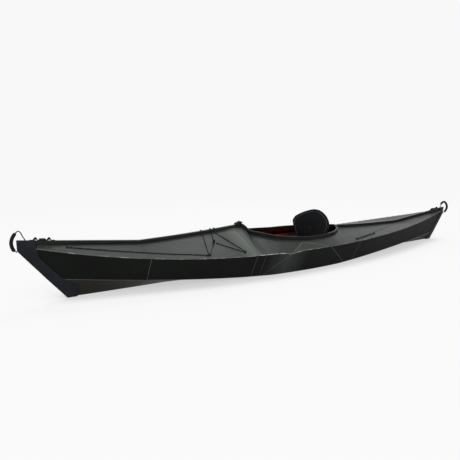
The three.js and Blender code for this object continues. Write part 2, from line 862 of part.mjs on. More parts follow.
function addPeakClip() {
  const start = cockpitFront + channelInset;
  const rimTop = peakHeight + flangeHeight + fitGap + rimWall;
  const low = rimTop + clipGap;
  const saddle = plateAcross([
    [start, peakHeight], [start, low + clipPlate], [start + clipReach, low + clipPlate / 2],
    [start + clipReach, peakHeight - clipPlate / 2],
  ], clipWidth + 2 * clipPlate);
  const tongue = plateAcross([
    [start - clipLap, low], [start - clipLap, low + clipPlate],
    [start - clipLap / 2, low + clipCrown - clipPlate / 2], [start - clipPlate, low + clipCrown],
    [start + clipPlate, low + clipCrown - clipPlate], [start + clipReach, low + clipPlate / 2],
    [start + clipReach, peakHeight], [start, peakHeight], [start, low],
  ], clipWidth);
  const grown = capOutline(0, channelHalf + fitGap, channelTop - channelHalf, -overrun, channelBevel);
  const solidCap = grown.slice(0, grown.length - innerCorners);
  const channel = loopBody(ridgeLoops(solidCap, start + clipReach + overrun, start - overrun), solidCap);
  addPiece('coaming_clip', fromSolid(toSolid(saddle).add(toSolid(tongue)).subtract(toSolid(channel))), 'plastic');
}

// Fairings over the two stems

function endPlace(end, reach, share) {
  return end.sign * mix(end.crease, reach, share);
}

function fairingLoop(end, share, nose) {
  const place = (reach, s) => endPlace(end, reach, s);
  const bounded = Math.min(share, fairingGrowShare);
  const grown = (pointAt, reach, grow) => {
    const base = pointAt(place(reach, share));
    const shift = grow(place(reach, bounded)).sub(pointAt(place(reach, bounded)));
    return at(base.x, Math.max(base.y + shift.y, fairingNose), base.z + shift.z);
  };
  const growth = -(fairingWall + fitGap);
  const chine = grown(chinePoint, stemReach(end, end.chine), (x) => mitre(
    section(x).keel, section(x).chine, section(x).sheer, growth));
  const sheer = grown(sheerPoint, stemReach(end, end.sheer), (x) => mitre(
    belowSheer(x), section(x).sheer, section(x).edge, growth));
  const keel = keelPoint(place(end.keelReach, share));
  const ridge = ridgePoint(place(end.reach, share));
  const low = at(keel.x, fairingKeelHalf, keel.z - fairingWall);
  const high = at(ridge.x, fairingTopHalf, ridge.z + flangeHeight + fitGap + fairingWall);
  const knee = chine.clone().lerp(sheer, (end.height - end.chine) / (end.sheer - end.chine));
  knee.x += end.sign * (end.reach - Math.abs(knee.x)) * share ** kneeBlendShare;
  const half = [low, chine, knee, sheer, high];
  const forward = at(end.sign * nose, 0, 0);
  const narrow = nose > 0 ? noseNarrowShare : 1;
  const shaped = half.map((p) => at(p.x + forward.x, p.y * narrow, p.z));
  return [...shaped, ...shaped.map(mirrored).reverse()];
}

// The hull's own sheet, grown by the fit gap, and the space inside it: what a fairing is fitted over

function coatLine([from, to], pointAt) {
  const places = [from + coatReach, ...placesBetween(from, to), to - coatReach];
  return places.map((x) => ({ ...pointAt(x), share: (x - from) / (to - from) }));
}

function coatFold(before, point, after) {
  return { outer: mitre(before, point, after, -fitGap), inner: mitre(before, point, after, coatDepth) };
}

const coatKeel = (x) => coatFold(mirrored(section(x).chine), section(x).keel, section(x).chine);
const coatChine = (x) => coatFold(section(x).keel, section(x).chine, section(x).sheer);
const coatSheer = (x) => coatFold(belowSheer(x), section(x).sheer, section(x).edge);

function coatFoot(x) {
  const foot = ridgePoint(x);
  return { outer: foot.clone().add(at(0, fitGap, fitGap)), inner: at(x, -looseGap, foot.z - coatDepth) };
}

function coatTop(x) {
  const z = ridgeHeight(x) + flangeHeight + fitGap;
  return { outer: at(x, ridgeFootY + fitGap, z), inner: at(x, -looseGap, z) };
}

function endSpan(end, reach) {
  const start = end.crease + fitGap / 2;
  return [end.sign * start, end.sign * mix(start, reach, endStationShare)].sort((a, b) => b - a);
}

function coreLoop(end, share) {
  const place = (reach) => endPlace(end, reach, share);
  const low = keelInside(place(end.keelReach), coreDepth);
  const top = place(end.reach);
  const half = [
    at(low.x, fitGap / 2, low.z),
    chineInside(place(stemReach(end, end.chine)), coreDepth),
    sheerInside(place(stemReach(end, end.sheer)), coreDepth),
    at(top, fitGap, ridgeHeight(top) - coreDepth),
  ];
  return [...half, ...half.map(mirrored).reverse()];
}

function grownHullEnd(end) {
  const [keel, ridge] = [endSpan(end, end.keelReach), endSpan(end, end.reach)];
  const [chine, sheer] = [end.chine, end.sheer].map((height) => endSpan(end, stemReach(end, height)));
  const chineLine = coatLine(chine, coatChine);
  const sheerLine = coatLine(sheer, coatSheer);
  const bottom = [chineLine, coatLine(keel, coatKeel), ...mirroredLines([chineLine])];
  const side = [chineLine, sheerLine];
  const deck = [sheerLine, coatLine(ridge, coatFoot), coatLine(ridge, coatTop)];
  const coats = [bottom, side, mirroredLines(side), deck, mirroredLines(deck)];
  const loops = steps(coreSteps).map((s) => coreLoop(end, mix(coreStartShare, coreEndShare, s)));
  const core = toSolid(loopBody(loops, flatOutline(loops[0])));
  return coats.reduce((sum, lines) => sum.add(toSolid(sheetBody(lines))), core);
}

function flatOutline(loop) {
  return loop.map((p) => new THREE.Vector2(p.y, p.z));
}

function fairingBody(end, width, edgeShares) {
  const count = Math.ceil((1 - fairingStartShare) / fairingStepShare);
  const shares = steps(count).map((s) => mix(fairingStartShare, 1, s));
  const loops = [...shares.map((share) => fairingLoop(end, share, 0)), fairingLoop(end, 1, fairingNoseReach)];
  const outer = toSolid(loopBody(loops, flatOutline(loops[0])));
  const edge = edgeShares.map(([heightShare, setbackShare]) => {
    const z = end.ridge * heightShare;
    return [end.sign * (stemReach(end, Math.max(0, z)) - width * setbackShare), z];
  });
  const far = end.sign * (end.reach + overrun);
  const top = edge[edge.length - 1][1];
  const keep = plateAcross([...edge, [far, top], [far, edge[0][1]]], chineBeam);
  return fromSolid(largest(outer.subtract(grownHullEnd(end)).intersect(toSolid(keep))));
}

// A webbing strap along the ridge from the fairing, raised in two open loops, with its buckle

function addRidgeStrap(name, end, startSetback) {
  const start = end.reach - startSetback;
  const lift = channelTop + fitGap;
  const loopAt = (reach) => {
    const centres = [start - strapLoopLength, start - ridgeStrapLength + strapLoopLength];
    return centres.reduce((sum, centre) => {
      const share = Math.abs(reach - centre) / (strapLoopLength / 2);
      return sum + (share < 1 ? strapLoopHeight * Math.cos(share * Math.PI / 2) ** 2 : 0);
    }, 0);
  };
  const line = steps(strapSteps).map((s) => {
    const reach = start - s * ridgeStrapLength;
    return [end.sign * reach, ridgeHeight(end.sign * reach) + lift + loopAt(reach)];
  });
  const top = line.map(([x, z]) => [x, z + webbingThickness]).reverse();
  addPiece(`${name}_fairing_strap`, plateAcross([...line, ...top], ridgeStrapWidth), 'webbing');
  const middle = end.sign * (start - ridgeStrapLength / 2);
  const rise = ridgeHeight(middle + buckleLength / 2) - ridgeHeight(middle - buckleLength / 2);
  const buckle = beveledBox(buckleLength, buckleWidth, buckleHeight, buckleBevel);
  buckle.rotateY(-Math.atan(rise / buckleLength));
  buckle.translate(middle, 0, ridgeHeight(middle) + lift + webbingThickness + fitGap);
  addPiece(`${name}_fairing_buckle`, buckle, 'plastic');
}

// A box standing on zero height, its upright corners cut and its top edges drawn in
function beveledBox(length, width, height, bevel) {
  const ring = (inset, z) => {
    const [a, b] = [length / 2 - inset, width / 2 - inset];
    return [
      [a, b - bevel], [a - bevel, b], [bevel - a, b], [-a, b - bevel],
      [-a, bevel - b], [bevel - a, -b], [a - bevel, -b], [a, bevel - b],
    ].map(([x, y]) => at(x, y, z));
  };
  const loops = [ring(0, 0), ring(0, height - bevel), ring(bevel / 2, height)];
  return loopBody(loops, loops[0].map((p) => new THREE.Vector2(p.x, p.y)));
}

// Bulkheads follow the inside of the sheet

function bulkheadLoop(x, gap) {
  const depth = sheetThickness + gap;
  const top = at(x, 0, ridgeHeight(x) - sheetThickness * flangeRootShare - gap);
  const half = [keelInside(x, depth), chineInside(x, depth), sheerInside(x, depth)];
  return [...half, top, mirrored(half[2]), mirrored(half[1])];
}

function addBulkhead(name, x, gap) {
  const loops = [bulkheadLoop(x, gap), bulkheadLoop(x - bulkheadThickness, gap)];
  addPiece(name, loopBody(loops, flatOutline(loops[0])), 'plastic');
}

// The floorboard lies on the bottom panels and turns up beside the seat

function onFloor(x, share, depth) {
  return keelInside(x, depth).lerp(chineInside(x, depth), share);
}

function onSide(x, height, depth) {
  const [low, high] = [chineInside(x, depth), sheerInside(x, depth)];
  return low.lerp(high, (height - low.z) / (high.z - low.z));
}

function boardLine(from, to, pointAt) {
  const depth = sheetThickness + floorGap;
  return lineBetween(from, to, (x) => ({
    outer: pointAt(x, depth),
    inner: pointAt(x, depth + floorThickness),
  }));
}

function floorboardBody() {
  const edgeShare = (x) => {
    const endDistance = Math.min(floorFore - x, x + floorAft);
    return mix(floorNoseShare, floorWidthShare, Math.min(1, endDistance / floorTaper));
  };
  const edge = (x, depth) => onFloor(x, edgeShare(x), depth);
  const leaning = (point) => at(point.x, point.y - floorWallLean, point.z);
  const fold = (x, depth) => leaning(onFloor(x, 1, depth));
  const wallTop = (x, depth) => leaning(onSide(x, floorWallHeight, depth));
  const across = (port) => (x, depth) => mirrored(port(x, depth));
  const board = sheetBody([
    boardLine(floorFore, -floorAft, edge),
    boardLine(floorFore, -floorAft, keelInside),
    boardLine(floorFore, -floorAft, across(edge)),
  ]);
  const trough = sheetBody([wallTop, fold, keelInside, across(fold), across(wallTop)].map(
    (pointAt) => boardLine(floorWallFore, -floorWallAft, pointAt)));
  return fromSolid(toSolid(board).add(toSolid(trough)));
}

// Seat

function roundedPlate(back, front, width, corner) {
  const half = width / 2;
  const shape = new THREE.Shape();
  shape.moveTo(back, -half);
  shape.lineTo(front - corner, -half);
  shape.quadraticCurveTo(front, -half, front, corner - half);
  shape.lineTo(front, half - corner);
  shape.quadraticCurveTo(front, half, front - corner, half);
  shape.lineTo(back, half);
  return shape;
}

function cylinderAcross(radius, length) {
  return new THREE.CylinderGeometry(radius, radius, length, roundSides);
}

const panFloor = sheetThickness + floorGap + floorThickness + fitGap;
const panBack = hingeBehind + hingeRod / 2 + sleeveWall + hingeEarMargin;

function seatPanBody() {
  const shape = roundedPlate(-panBack, seatFront, seatWidth, seatCorner);
  const plate = new THREE.ExtrudeGeometry(shape, { depth: panThickness, bevelEnabled: false });
  plate.translate(0, 0, panFloor);
  const reach = hingeRod / 2 + hingeEarMargin;
  const ear = [
    [-hingeBehind - reach, panFloor], [-hingeBehind - reach, hingeHeight + reach / 2],
    [-hingeBehind - reach / 2, hingeHeight + reach], [-hingeBehind + reach / 2, hingeHeight + reach],
    [-hingeBehind + reach, hingeHeight + reach / 2], [-hingeBehind + 2 * reach, panFloor],
  ];
  const bore = cylinderAcross(hingeRod / 2 + pinGap, hingeEarSpacing + overrun);
  bore.translate(-hingeBehind, 0, hingeHeight);
  const ears = [1, -1].map((side) => toSolid(
    plateAcross(ear, hingeEarThickness, side * hingeEarSpacing / 2)));
  return fromSolid(toSolid(plate).add(ears[0]).add(ears[1]).subtract(toSolid(bore)));
}

function hingeRodBody() {
  const half = hingeEarSpacing / 2 + hingeEarThickness / 2 + fitGap;
  const [r, head] = [hingeRod / 2, rodHeadDiameter / 2];
  const profile = [
    [0, -half - rodHeadThickness], [head, -half - rodHeadThickness], [head, -half], [r, -half],
    [r, half], [head, half], [head, half + rodHeadThickness], [0, half + rodHeadThickness],
  ].map(([radius, y]) => new THREE.Vector2(radius, y));
  const rod = new THREE.LatheGeometry(profile, roundSides);
  rod.translate(-hingeBehind, 0, hingeHeight);
  return rod;
}

// A cushion over a rounded rectangle: crowned, with sides that pull in
function cushionBody(back, front, width, low, edgeHeight, crown) {
  const [cx, a, b] = [(back + front) / 2, (front - back) / 2, width / 2];
  const ring = (reachShare, z) => steps(cushionSides).slice(1).map((turn) => {
    const angle = 2 * Math.PI * turn;
    const [c, s] = [Math.cos(angle), Math.sin(angle)];
    const squareness = (Math.abs(c) ** cushionPower + Math.abs(s) ** cushionPower) ** (-1 / cushionPower);
    return at(cx + a * reachShare * squareness * c, b * reachShare * squareness * s, z);
  });
  const loops = cushionProfileShares.map(([reachShare, edgeShare, crownShare]) => (
    ring(reachShare, low + edgeHeight * edgeShare + crown * crownShare)));
  return loopBody(loops, loops[0].map((p) => new THREE.Vector2(p.x, p.y)));
}

function backrestHalfWidth(share) {
  const table = backrestOutlineShares;
  const i = Math.min(table.length - 2, table.findLastIndex(([height]) => height <= share));
  const [[h0, w0], [h1, w1]] = [table[i], table[i + 1]];
  const t = (share - h0) / (h1 - h0);
  return backrestWidth / 2 * mix(w0, w1, t);
}

// A point of the backrest: height along it, distance across, and distance ahead of its back face
function backrestPoint(height, y, ahead) {
  const recline = THREE.MathUtils.degToRad(backrestRecline);
  const forward = ahead + backrestLead * (2 * y / backrestWidth) ** 2;
  return at(
    -hingeBehind - height * Math.sin(recline) + forward * Math.cos(recline),
    y,
    hingeHeight + height * Math.cos(recline) + forward * Math.sin(recline));
}

function backrestRow(height, inset, columns, backAt, frontAt) {
  const half = backrestHalfWidth(height / backrestHeight) - inset;
  return steps(columns).map((share) => {
    const y = mix(half, -half, share);
    return {
      outer: backrestPoint(height, y, backAt(share)),
      inner: backrestPoint(height, y, frontAt(share)),
      share,
    };
  });
}

function backrestShellBody() {
  const rows = steps(shellRows).map((share) => backrestRow(
    share * (backrestHeight - shellInset), shellInset, shellColumns, () => 0, () => shellThickness));
  const sleeveLength = hingeEarSpacing - hingeEarThickness - 2 * looseGap;
  const sleeve = cylinderAcross(hingeRod / 2 + pinGap + sleeveWall, sleeveLength);
  const bore = cylinderAcross(hingeRod / 2 + pinGap, sleeveLength + overrun);
  for (const round of [sleeve, bore]) {
    round.translate(-hingeBehind, 0, hingeHeight);
  }
  return fromSolid(toSolid(sheetBody(rows)).add(toSolid(sleeve)).subtract(toSolid(bore)));
}

function backPadThickness(acrossShare, heightShare) {
  const across = Math.abs(2 * acrossShare - 1);
  const upward = Math.abs(2 * heightShare - 1);
  const edge = Math.max(across, upward);
  const dome = Math.sqrt(Math.max(0, (1 - across ** domePower) * (1 - upward ** domePower)));
  const seam = Math.max(0, 1 - Math.abs(edge - seamPlaceShare) / seamSpreadShare);
  return backPadEdge + backPadCrown * dome - backPadSeamDepth * seam;
}

function backrestPadBody() {
  const rows = steps(padRows).map((share) => {
    const back = shellThickness + padGap;
    return backrestRow(mix(backPadStart, backrestHeight, share), 0, padColumns,
      () => back, (across) => back + backPadThickness(across, share));
  });
  return sheetBody(rows);
}

// Straps: flat webbing on edge, through points that give its middle line

function strapBody(lead, seated, endUp) {
  const path = [...lead, ...seated];
  const offsets = pathOffsets(path);
  const shares = pathShares(path);
  const row = (side) => path.map((p, i) => {
    const up = (i < lead.length ? at(0, 0, 1) : endUp).clone().multiplyScalar(side * strapWidth / 2);
    return {
      outer: p.clone().add(up),
      inner: p.clone().addScaledVector(offsets[i], webbingThickness).add(up),
      share: shares[i],
    };
  });
  return sheetBody([row(-1), row(1)]);
}

// Where a ray from the middle of the hull meets the inside of a side
function wallPoint(x, height) {
  const sides = kayak.children.filter((piece) => /side/.test(piece.name));
  const ray = new THREE.Raycaster(at(x, 0, height), at(0, 1, 0));
  const hit = ray.intersectObjects(sides)[0];
  const up = at(0, -hit.face.normal.z, hit.face.normal.y);
  return { point: hit.point, up: up.multiplyScalar(Math.sign(up.z)).normalize() };
}

function addStrapPair(name, lead, wallPlace) {
  const ahead = Math.sign(wallPlace - lead[0].x);
  const ends = [wallPlace, wallPlace + ahead * strapWidth].map((x) => wallPoint(x, strapAnchorHeight));
  const gap = slantGap + (ahead > 0 ? webbingThickness : looseGap);
  const seated = ends.map(({ point }) => at(point.x, point.y - gap, point.z));
  addMirrored(name, strapBody(lead, seated, ends[1].up), 'webbing');
}

function addStraps() {
  const shellHeight = backrestHeight * backStrapHeightShare;
  const strapTopShare = backStrapHeightShare + strapWidth / 2 / backrestHeight;
  const shellEdge = backrestHalfWidth(strapTopShare) + 2 * slantGap + webbingThickness;
  const start = backrestPoint(shellHeight, shellEdge, shellThickness / 2);
  const wall = wallPoint(backStrapAnchor, strapAnchorHeight).point;
  const bends = backStrapBendShares.map(([alongShare, outShare]) => (
    start.clone().lerp(wall, alongShare).setY(mix(start.y, wall.y, outShare))));
  addStrapPair('backrest_strap', [start, ...bends], backStrapAnchor);
  const barEnd = footBarLength / 2 + slantGap + webbingThickness;
  const lead = footStrapLead.map((ahead) => at(footBarPlace + ahead, barEnd, footBarHeight));
  addStrapPair('foot_brace_strap', lead, footStrapAnchor);
}

function footBarBody() {
  const bar = cylinderAcross(footBarDiameter / 2, footBarLength);
  const bore = cylinderAcross(footBarBore / 2, footBarLength + overrun);
  const tube = fromSolid(toSolid(bar).subtract(toSolid(bore)));
  tube.translate(footBarPlace, 0, footBarHeight);
  return tube;
}

// Round cords

function cordBody(path, diameter) {
  const outline = steps(cordSides).slice(1).map((turn) => (
    new THREE.Vector2(Math.cos(2 * Math.PI * turn), Math.sin(2 * Math.PI * turn))));
  let normal = at(0, 0, 1);
  const loops = path.map((point, i) => {
    const tangent = path[Math.min(i + 1, path.length - 1)].clone().sub(path[Math.max(i - 1, 0)]).normalize();
    normal = normal.clone().addScaledVector(tangent, -normal.dot(tangent)).normalize();
    const side = tangent.clone().cross(normal);
    return outline.map(({ x, y }) => point.clone()
      .addScaledVector(side, x * diameter / 2).addScaledVector(normal, y * diameter / 2));
  });
  return loopBody(loops, outline);
}

function smooth(points, spacing) {
  const curve = new THREE.CatmullRomCurve3(points, false, 'centripetal');
  return curve.getSpacedPoints(Math.ceil(curve.getLength() / spacing));
}

function deckPlace(end, [reachShare, breadthShare]) {
  const x = end.sign * end.reach * reachShare;
  return [x, sheerPoint(x).y * breadthShare];
}

const [anchorA, anchorB, knot] = [foreAnchorShares, aftAnchorShares, knotShares].map(
  (place) => deckPlace(bow, place));
const ridgeCrossings = ridgeCrossingShares.map((share) => share * bowReach);

// A point on the deck at a place along and across the hull, raised by a height
function onDeck([x, y], lift) {
  const decks = kayak.children.filter((piece) => /deck_panel/.test(piece.name));
  const hit = new THREE.Raycaster(at(x, y, bowReach), at(0, 0, -1)).intersectObjects(decks)[0];
  return hit.point.addScaledVector(hit.face.normal, lift);
}

function deckRun(end, shares, diameter) {
  const route = shares.map((place) => deckPlace(end, place));
  const flat = smooth(route.map(([x, y]) => at(x, y, 0)), cordStep);
  return flat.map(({ x, y }) => onDeck([x, y], diameter / 2 + cordRest));
}

// Points that carry a cord over the seam channel, from port to starboard
function overRidge(x, diameter) {
  const clear = diameter / 2 + slantGap;
  const corner = clear * cornerShare;
  const side = channelHalf + clear;
  const top = ridgeHeight(x) + channelTop + clear;
  const half = [
    at(x, side + slantGap, ridgeHeight(x) + channelTop / 2), at(x, side, top - clear - corner),
    at(x, side - corner / 2, top - corner / 2), at(x, channelHalf - corner, top),
  ];
  return [...half, at(x, 0, top), ...half.map(mirrored).reverse()];
}

function straightRun(from, to, diameter) {
  const count = Math.max(1, Math.round(Math.hypot(to[0] - from[0], to[1] - from[1]) / cordStep));
  return steps(count).map((s) => (
    onDeck([mix(from[0], to[0], s), mix(from[1], to[1], s)], diameter / 2 + cordRest)));
}

const mirroredRun = (run) => run.map(mirrored).reverse();

// From the anchor over the ridge to the far anchor, and back over the ridge by the cord lock
function foreBungee() {
  const [first, second] = ridgeCrossings;
  const turn = steps(turnSteps).map((s) => onDeck([
    anchorA[0] - turnRadius + turnRadius * Math.cos(s * Math.PI),
    -anchorA[1] - turnRadius * Math.sin(s * Math.PI),
  ], bungee / 2 + cordRest));
  const back = [anchorA[0] - 2 * turnRadius, anchorA[1] - turnRadius];
  const out = straightRun(anchorA, [first, ridgeClear], bungee);
  const beyond = straightRun(back, knot, bungee);
  const toRidge = straightRun(knot, [second, ridgeClear], bungee);
  const raised = [onDeck(knot, lockCordLift)];
  return [
    ...out, ...overRidge(first, bungee), ...mirroredRun(out).slice(0, -1), ...turn,
    ...beyond.slice(1, -1).map(mirrored), ...toRidge.map(mirrored),
    ...overRidge(second, bungee).map(mirrored), ...toRidge.slice(1).reverse(), ...raised,
    ...beyond.slice(1, -1).reverse(),
  ];
}

// From the cord lock to the lower anchor, over the ridge, and the same on the far side
function aftBungee() {
  const start = [knot[0] - lockDiameter, knot[1] + lockDiameter / 2];
  const turn = steps(turnSteps).map((s) => onDeck([
    anchorB[0] - turnRadius + turnRadius * Math.cos(s * Math.PI),
    anchorB[1] + turnRadius * Math.sin(s * Math.PI),
  ], bungee / 2 + cordRest));
  const half = [
    ...straightRun(start, anchorB, bungee).slice(0, -1), ...turn,
    ...straightRun([anchorB[0] - 2 * turnRadius, anchorB[1]], [ridgeCrossings[2], ridgeClear], bungee).slice(1),
  ];
  return [...half, ...overRidge(ridgeCrossings[2], bungee), ...mirroredRun(half)];
}

function addDeckCords() {
  const fore = foreBungee();
  addPiece('foredeck_bungee_fore', cordBody(fore, bungee), 'cord');
  addPiece('foredeck_bungee_aft', cordBody(aftBungee(), bungee), 'cord');
  addMirrored('foredeck_side_line', cordBody(deckRun(bow, sideLineShares, bungee), bungee), 'cord');
  addMirrored('aft_deck_cord', cordBody(deckRun(stern, aftCordShares, aftCord), aftCord), 'cord');
  addCordLock(fore);
}

function addCordLock(route) {
  const [foot, above] = [looseGap, looseGap + lockHeight].map((lift) => onDeck(knot, lift));
  const turn = new THREE.Quaternion().setFromUnitVectors(at(0, 1, 0), above.clone().sub(foot).normalize());
  const place = (geometry, height) => {
    geometry.translate(0, height, 0);
    geometry.applyQuaternion(turn);
    geometry.translate(foot.x, foot.y, foot.z);
    return geometry;
  };
  const barrel = place(cylinderAcross(lockDiameter / 2, lockHeight), lockHeight / 2);
  const boreLength = buttonBoreDepth + overrun;
  const bore = place(
    cylinderAcross(buttonDiameter / 2 + fitGap, boreLength), lockHeight - buttonBoreDepth + boreLength / 2);
  const hole = cordBody(route, bungee + 2 * fitGap);
  const body = toSolid(barrel).subtract(toSolid(bore)).subtract(toSolid(hole));
  addPiece('cord_lock_body', fromSolid(body), 'plastic');
  const button = place(
    cylinderAcross(buttonDiameter / 2, buttonLength), lockHeight + buttonProud - buttonLength / 2);
  addPiece('cord_lock_button', button, 'plastic');
}

// Grab handles: a rope in the middle plane from a ball end at the stem to one on the top of the
// fairing, through a thicker grip

function handleBody(end, route, gripShares) {
  const places = route.map(([ahead, up]) => [end.sign * (end.reach + ahead), end.height + up]);
  const [low, high] = [places[0][1], places[places.length - 1][0]];
  const clear = handleBall / 2 + fitGap;
  const stemFace = stemReach(end, low) + fairingNoseReach;
  const topFace = ridgeHeight(high) + flangeHeight + fitGap + fairingWall;
  const points = [[end.sign * (stemFace + clear), low], ...places.slice(1, -1), [high, topFace + clear]];
  const path = smooth(points.map(([x, z]) => at(x, 0, z)), handleStep);
  const grip = path.filter((_, i) => {
    const share = i / (path.length - 1);
    return share >= gripShares[0] && share <= gripShares[1];
  });
  const balls = [path[0], path[path.length - 1]].map((centre) => {
    const ball = new THREE.SphereGeometry(handleBall / 2, roundSides / 2, cordSides);
    ball.translate(centre.x, centre.y, centre.z);
    return toSolid(ball);
  });
  const rope = toSolid(cordBody(path, handleRope)).add(toSolid(cordBody(grip, handleGrip)));
  return fromSolid(rope.add(balls[0]).add(balls[1]));
}

addHull();
addChannels();
addMirrored('coaming', coamingBody(), 'rim');
addPeakClip();
addPiece('bow_fairing', fairingBody(bow, bowFairingWidth, bowFairingEdgeShares), 'fairing');
addPiece('stern_fairing', fairingBody(stern, sternFairingWidth, sternFairingEdgeShares), 'fairing');
addRidgeStrap('bow', bow, bowStrapStart);
addRidgeStrap('stern', stern, sternStrapStart);
addBulkhead('front_bulkhead', foreCrease - bulkheadSetback, foreBulkheadGap);
addBulkhead('rear_bulkhead', bulkheadSetback - aftCrease, aftBulkheadGap);
addPiece('floorboard', floorboardBody(), 'floor');
addPiece('seat_pan', seatPanBody(), 'plastic');
addPiece('seat_pad', cushionBody(
  -padRear, seatFront - looseGap, seatWidth, panFloor + panThickness + fitGap, padHeight, padCrownHeight), 'foam');
addPiece('backrest_hinge_rod', hingeRodBody(), 'tube');
addPiece('backrest_shell', backrestShellBody(), 'plastic');
addPiece('backrest_pad', backrestPadBody(), 'fabric');
addStraps();
addPiece('foot_brace_bar', footBarBody(), 'tube');
addDeckCords();
addPiece('bow_handle', handleBody(bow, bowHandleRoute, bowGripShares), 'cord');
addPiece('stern_handle', handleBody(stern, sternHandleRoute, sternGripShares), 'cord');

export default kayak;
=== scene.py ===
"""Look of the folding kayak: materials, cushions, webbing, cords, fittings, light and camera."""
import json
import math
from itertools import combinations

import bmesh
import bpy
import numpy as np
from mathutils import Color, Matrix, Vector
from mathutils.bvhtree import BVHTree
from mathutils.kdtree import KDTree

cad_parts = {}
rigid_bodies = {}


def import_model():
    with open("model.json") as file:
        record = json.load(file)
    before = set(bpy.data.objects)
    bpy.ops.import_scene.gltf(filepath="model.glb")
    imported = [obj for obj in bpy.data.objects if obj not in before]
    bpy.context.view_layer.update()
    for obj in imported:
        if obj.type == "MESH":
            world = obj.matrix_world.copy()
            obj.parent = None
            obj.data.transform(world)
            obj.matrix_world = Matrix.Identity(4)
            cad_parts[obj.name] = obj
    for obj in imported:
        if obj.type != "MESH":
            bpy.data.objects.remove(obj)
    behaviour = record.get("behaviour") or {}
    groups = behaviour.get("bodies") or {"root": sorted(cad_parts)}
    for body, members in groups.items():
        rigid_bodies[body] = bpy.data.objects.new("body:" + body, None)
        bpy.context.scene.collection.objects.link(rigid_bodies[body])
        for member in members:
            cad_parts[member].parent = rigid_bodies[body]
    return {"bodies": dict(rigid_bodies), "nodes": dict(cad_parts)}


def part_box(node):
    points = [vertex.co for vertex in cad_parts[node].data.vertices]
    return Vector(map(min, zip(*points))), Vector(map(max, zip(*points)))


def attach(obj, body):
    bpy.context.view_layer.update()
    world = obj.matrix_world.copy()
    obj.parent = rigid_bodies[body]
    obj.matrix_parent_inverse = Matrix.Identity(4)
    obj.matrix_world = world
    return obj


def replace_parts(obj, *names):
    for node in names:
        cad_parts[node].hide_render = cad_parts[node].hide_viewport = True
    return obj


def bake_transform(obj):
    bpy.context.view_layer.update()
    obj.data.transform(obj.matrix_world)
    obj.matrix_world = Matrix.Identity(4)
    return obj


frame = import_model()
nodes = frame["nodes"]
MM = 0.001
UP = Vector((0, 0, 1))
TINY = 1e-9


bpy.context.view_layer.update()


# Material nodes

WAVE_TURNS, DIAGONAL_TURNS = 20, 10
NOISE_MIDDLE, PATCHES, CORNERS = (0.3, 0.7), (0.35, 0.65), (0.02, 0.2)


def linear(hex_colour):
    """A colour written as six hex digits, as linear red, green, blue and alpha."""
    parts = [int(hex_colour[i:i + 2], 16) / 255 for i in (0, 2, 4)]
    return [*Color(parts).from_srgb_to_scene_linear(), 1.0]


def scaled(colour, share):
    return [min(1.0, c * share) for c in colour[:3]] + [1.0]


class Nodes:
    """A node tree, with short ways to add nodes. Pitches, radii and depths are in millimetres."""

    def __init__(self, tree):
        self.tree = tree

    def add(self, kind, inputs=None, **settings):
        made = self.tree.nodes.new("ShaderNode" + kind)
        for key, value in settings.items():
            setattr(made, key, value)
        for key, value in (inputs or {}).items():
            self.give(made.inputs[key], value)
        return made

    def give(self, socket, value):
        if isinstance(value, bpy.types.NodeSocket):
            self.tree.links.new(value, socket)
        else:
            socket.default_value = value

    def place(self, kind="Object", scale=(1, 1, 1)):
        coordinates = self.add("TexCoord").outputs[kind]
        return self.add("Mapping", {"Vector": coordinates, "Scale": scale}).outputs["Vector"]

    def noise(self, scale, detail=3.0, vector=None, roughness=0.55):
        return self.add("TexNoise", {"Vector": vector or self.place(), "Scale": scale, "Detail": detail,
                                     "Roughness": roughness}).outputs["Fac"]

    def bands(self, direction, pitch, vector=None):
        turns = DIAGONAL_TURNS if direction == "DIAGONAL" else WAVE_TURNS
        scale = 2 * math.pi / turns / (pitch * MM)
        made = self.add(
            "TexWave", {"Vector": vector or self.place(), "Scale": scale}, bands_direction=direction)
        return made.outputs["Fac"]

    def math(self, operation, a, b):
        return self.add("Math", {0: a, 1: b}, operation=operation).outputs[0]

    def product(self, a, b):
        return self.math("MULTIPLY", a, b)

    def component(self, vector, axis):
        return self.add("SeparateXYZ", {0: vector}).outputs[axis]

    def span(self, value, low=0.0, high=1.0, to_low=0.0, to_high=1.0):
        return self.add("MapRange", {"Value": value, "From Min": low, "From Max": high, "To Min": to_low,
                                     "To Max": to_high}).outputs[0]

    def mixed(self, share, first, second):
        return self.add("Mix", {0: share, 6: first, 7: second}, data_type="RGBA").outputs[2]

    def normal(self):
        return self.add("NewGeometry").outputs["Normal"]

    def corners(self, radius):
        """A mask that is 1 on corners and folds."""
        rounded = self.add("Bevel", {"Radius": radius * MM}, samples=6).outputs[0]
        dot = self.add("VectorMath", {0: rounded, 1: self.normal()}, operation="DOT_PRODUCT")
        return self.span(self.math("SUBTRACT", 1.0, dot.outputs["Value"]), *CORNERS)

    def stretch(self, start, full_from, full_to, end):
        """A mask along the boat, full between two places and fading out on both sides."""
        along_boat = self.component(self.place(), "X")
        return self.product(self.span(along_boat, start, full_from), self.span(along_boat, end, full_to))

    def seen(self):
        """1 for the camera's rays and for what gloss, metal and glass show, 0 for the rest."""
        path = self.add("LightPath").outputs
        shown = self.math("MAXIMUM", path["Is Camera Ray"], path["Is Glossy Ray"])
        return self.math("MAXIMUM", shown, path["Is Transmission Ray"])


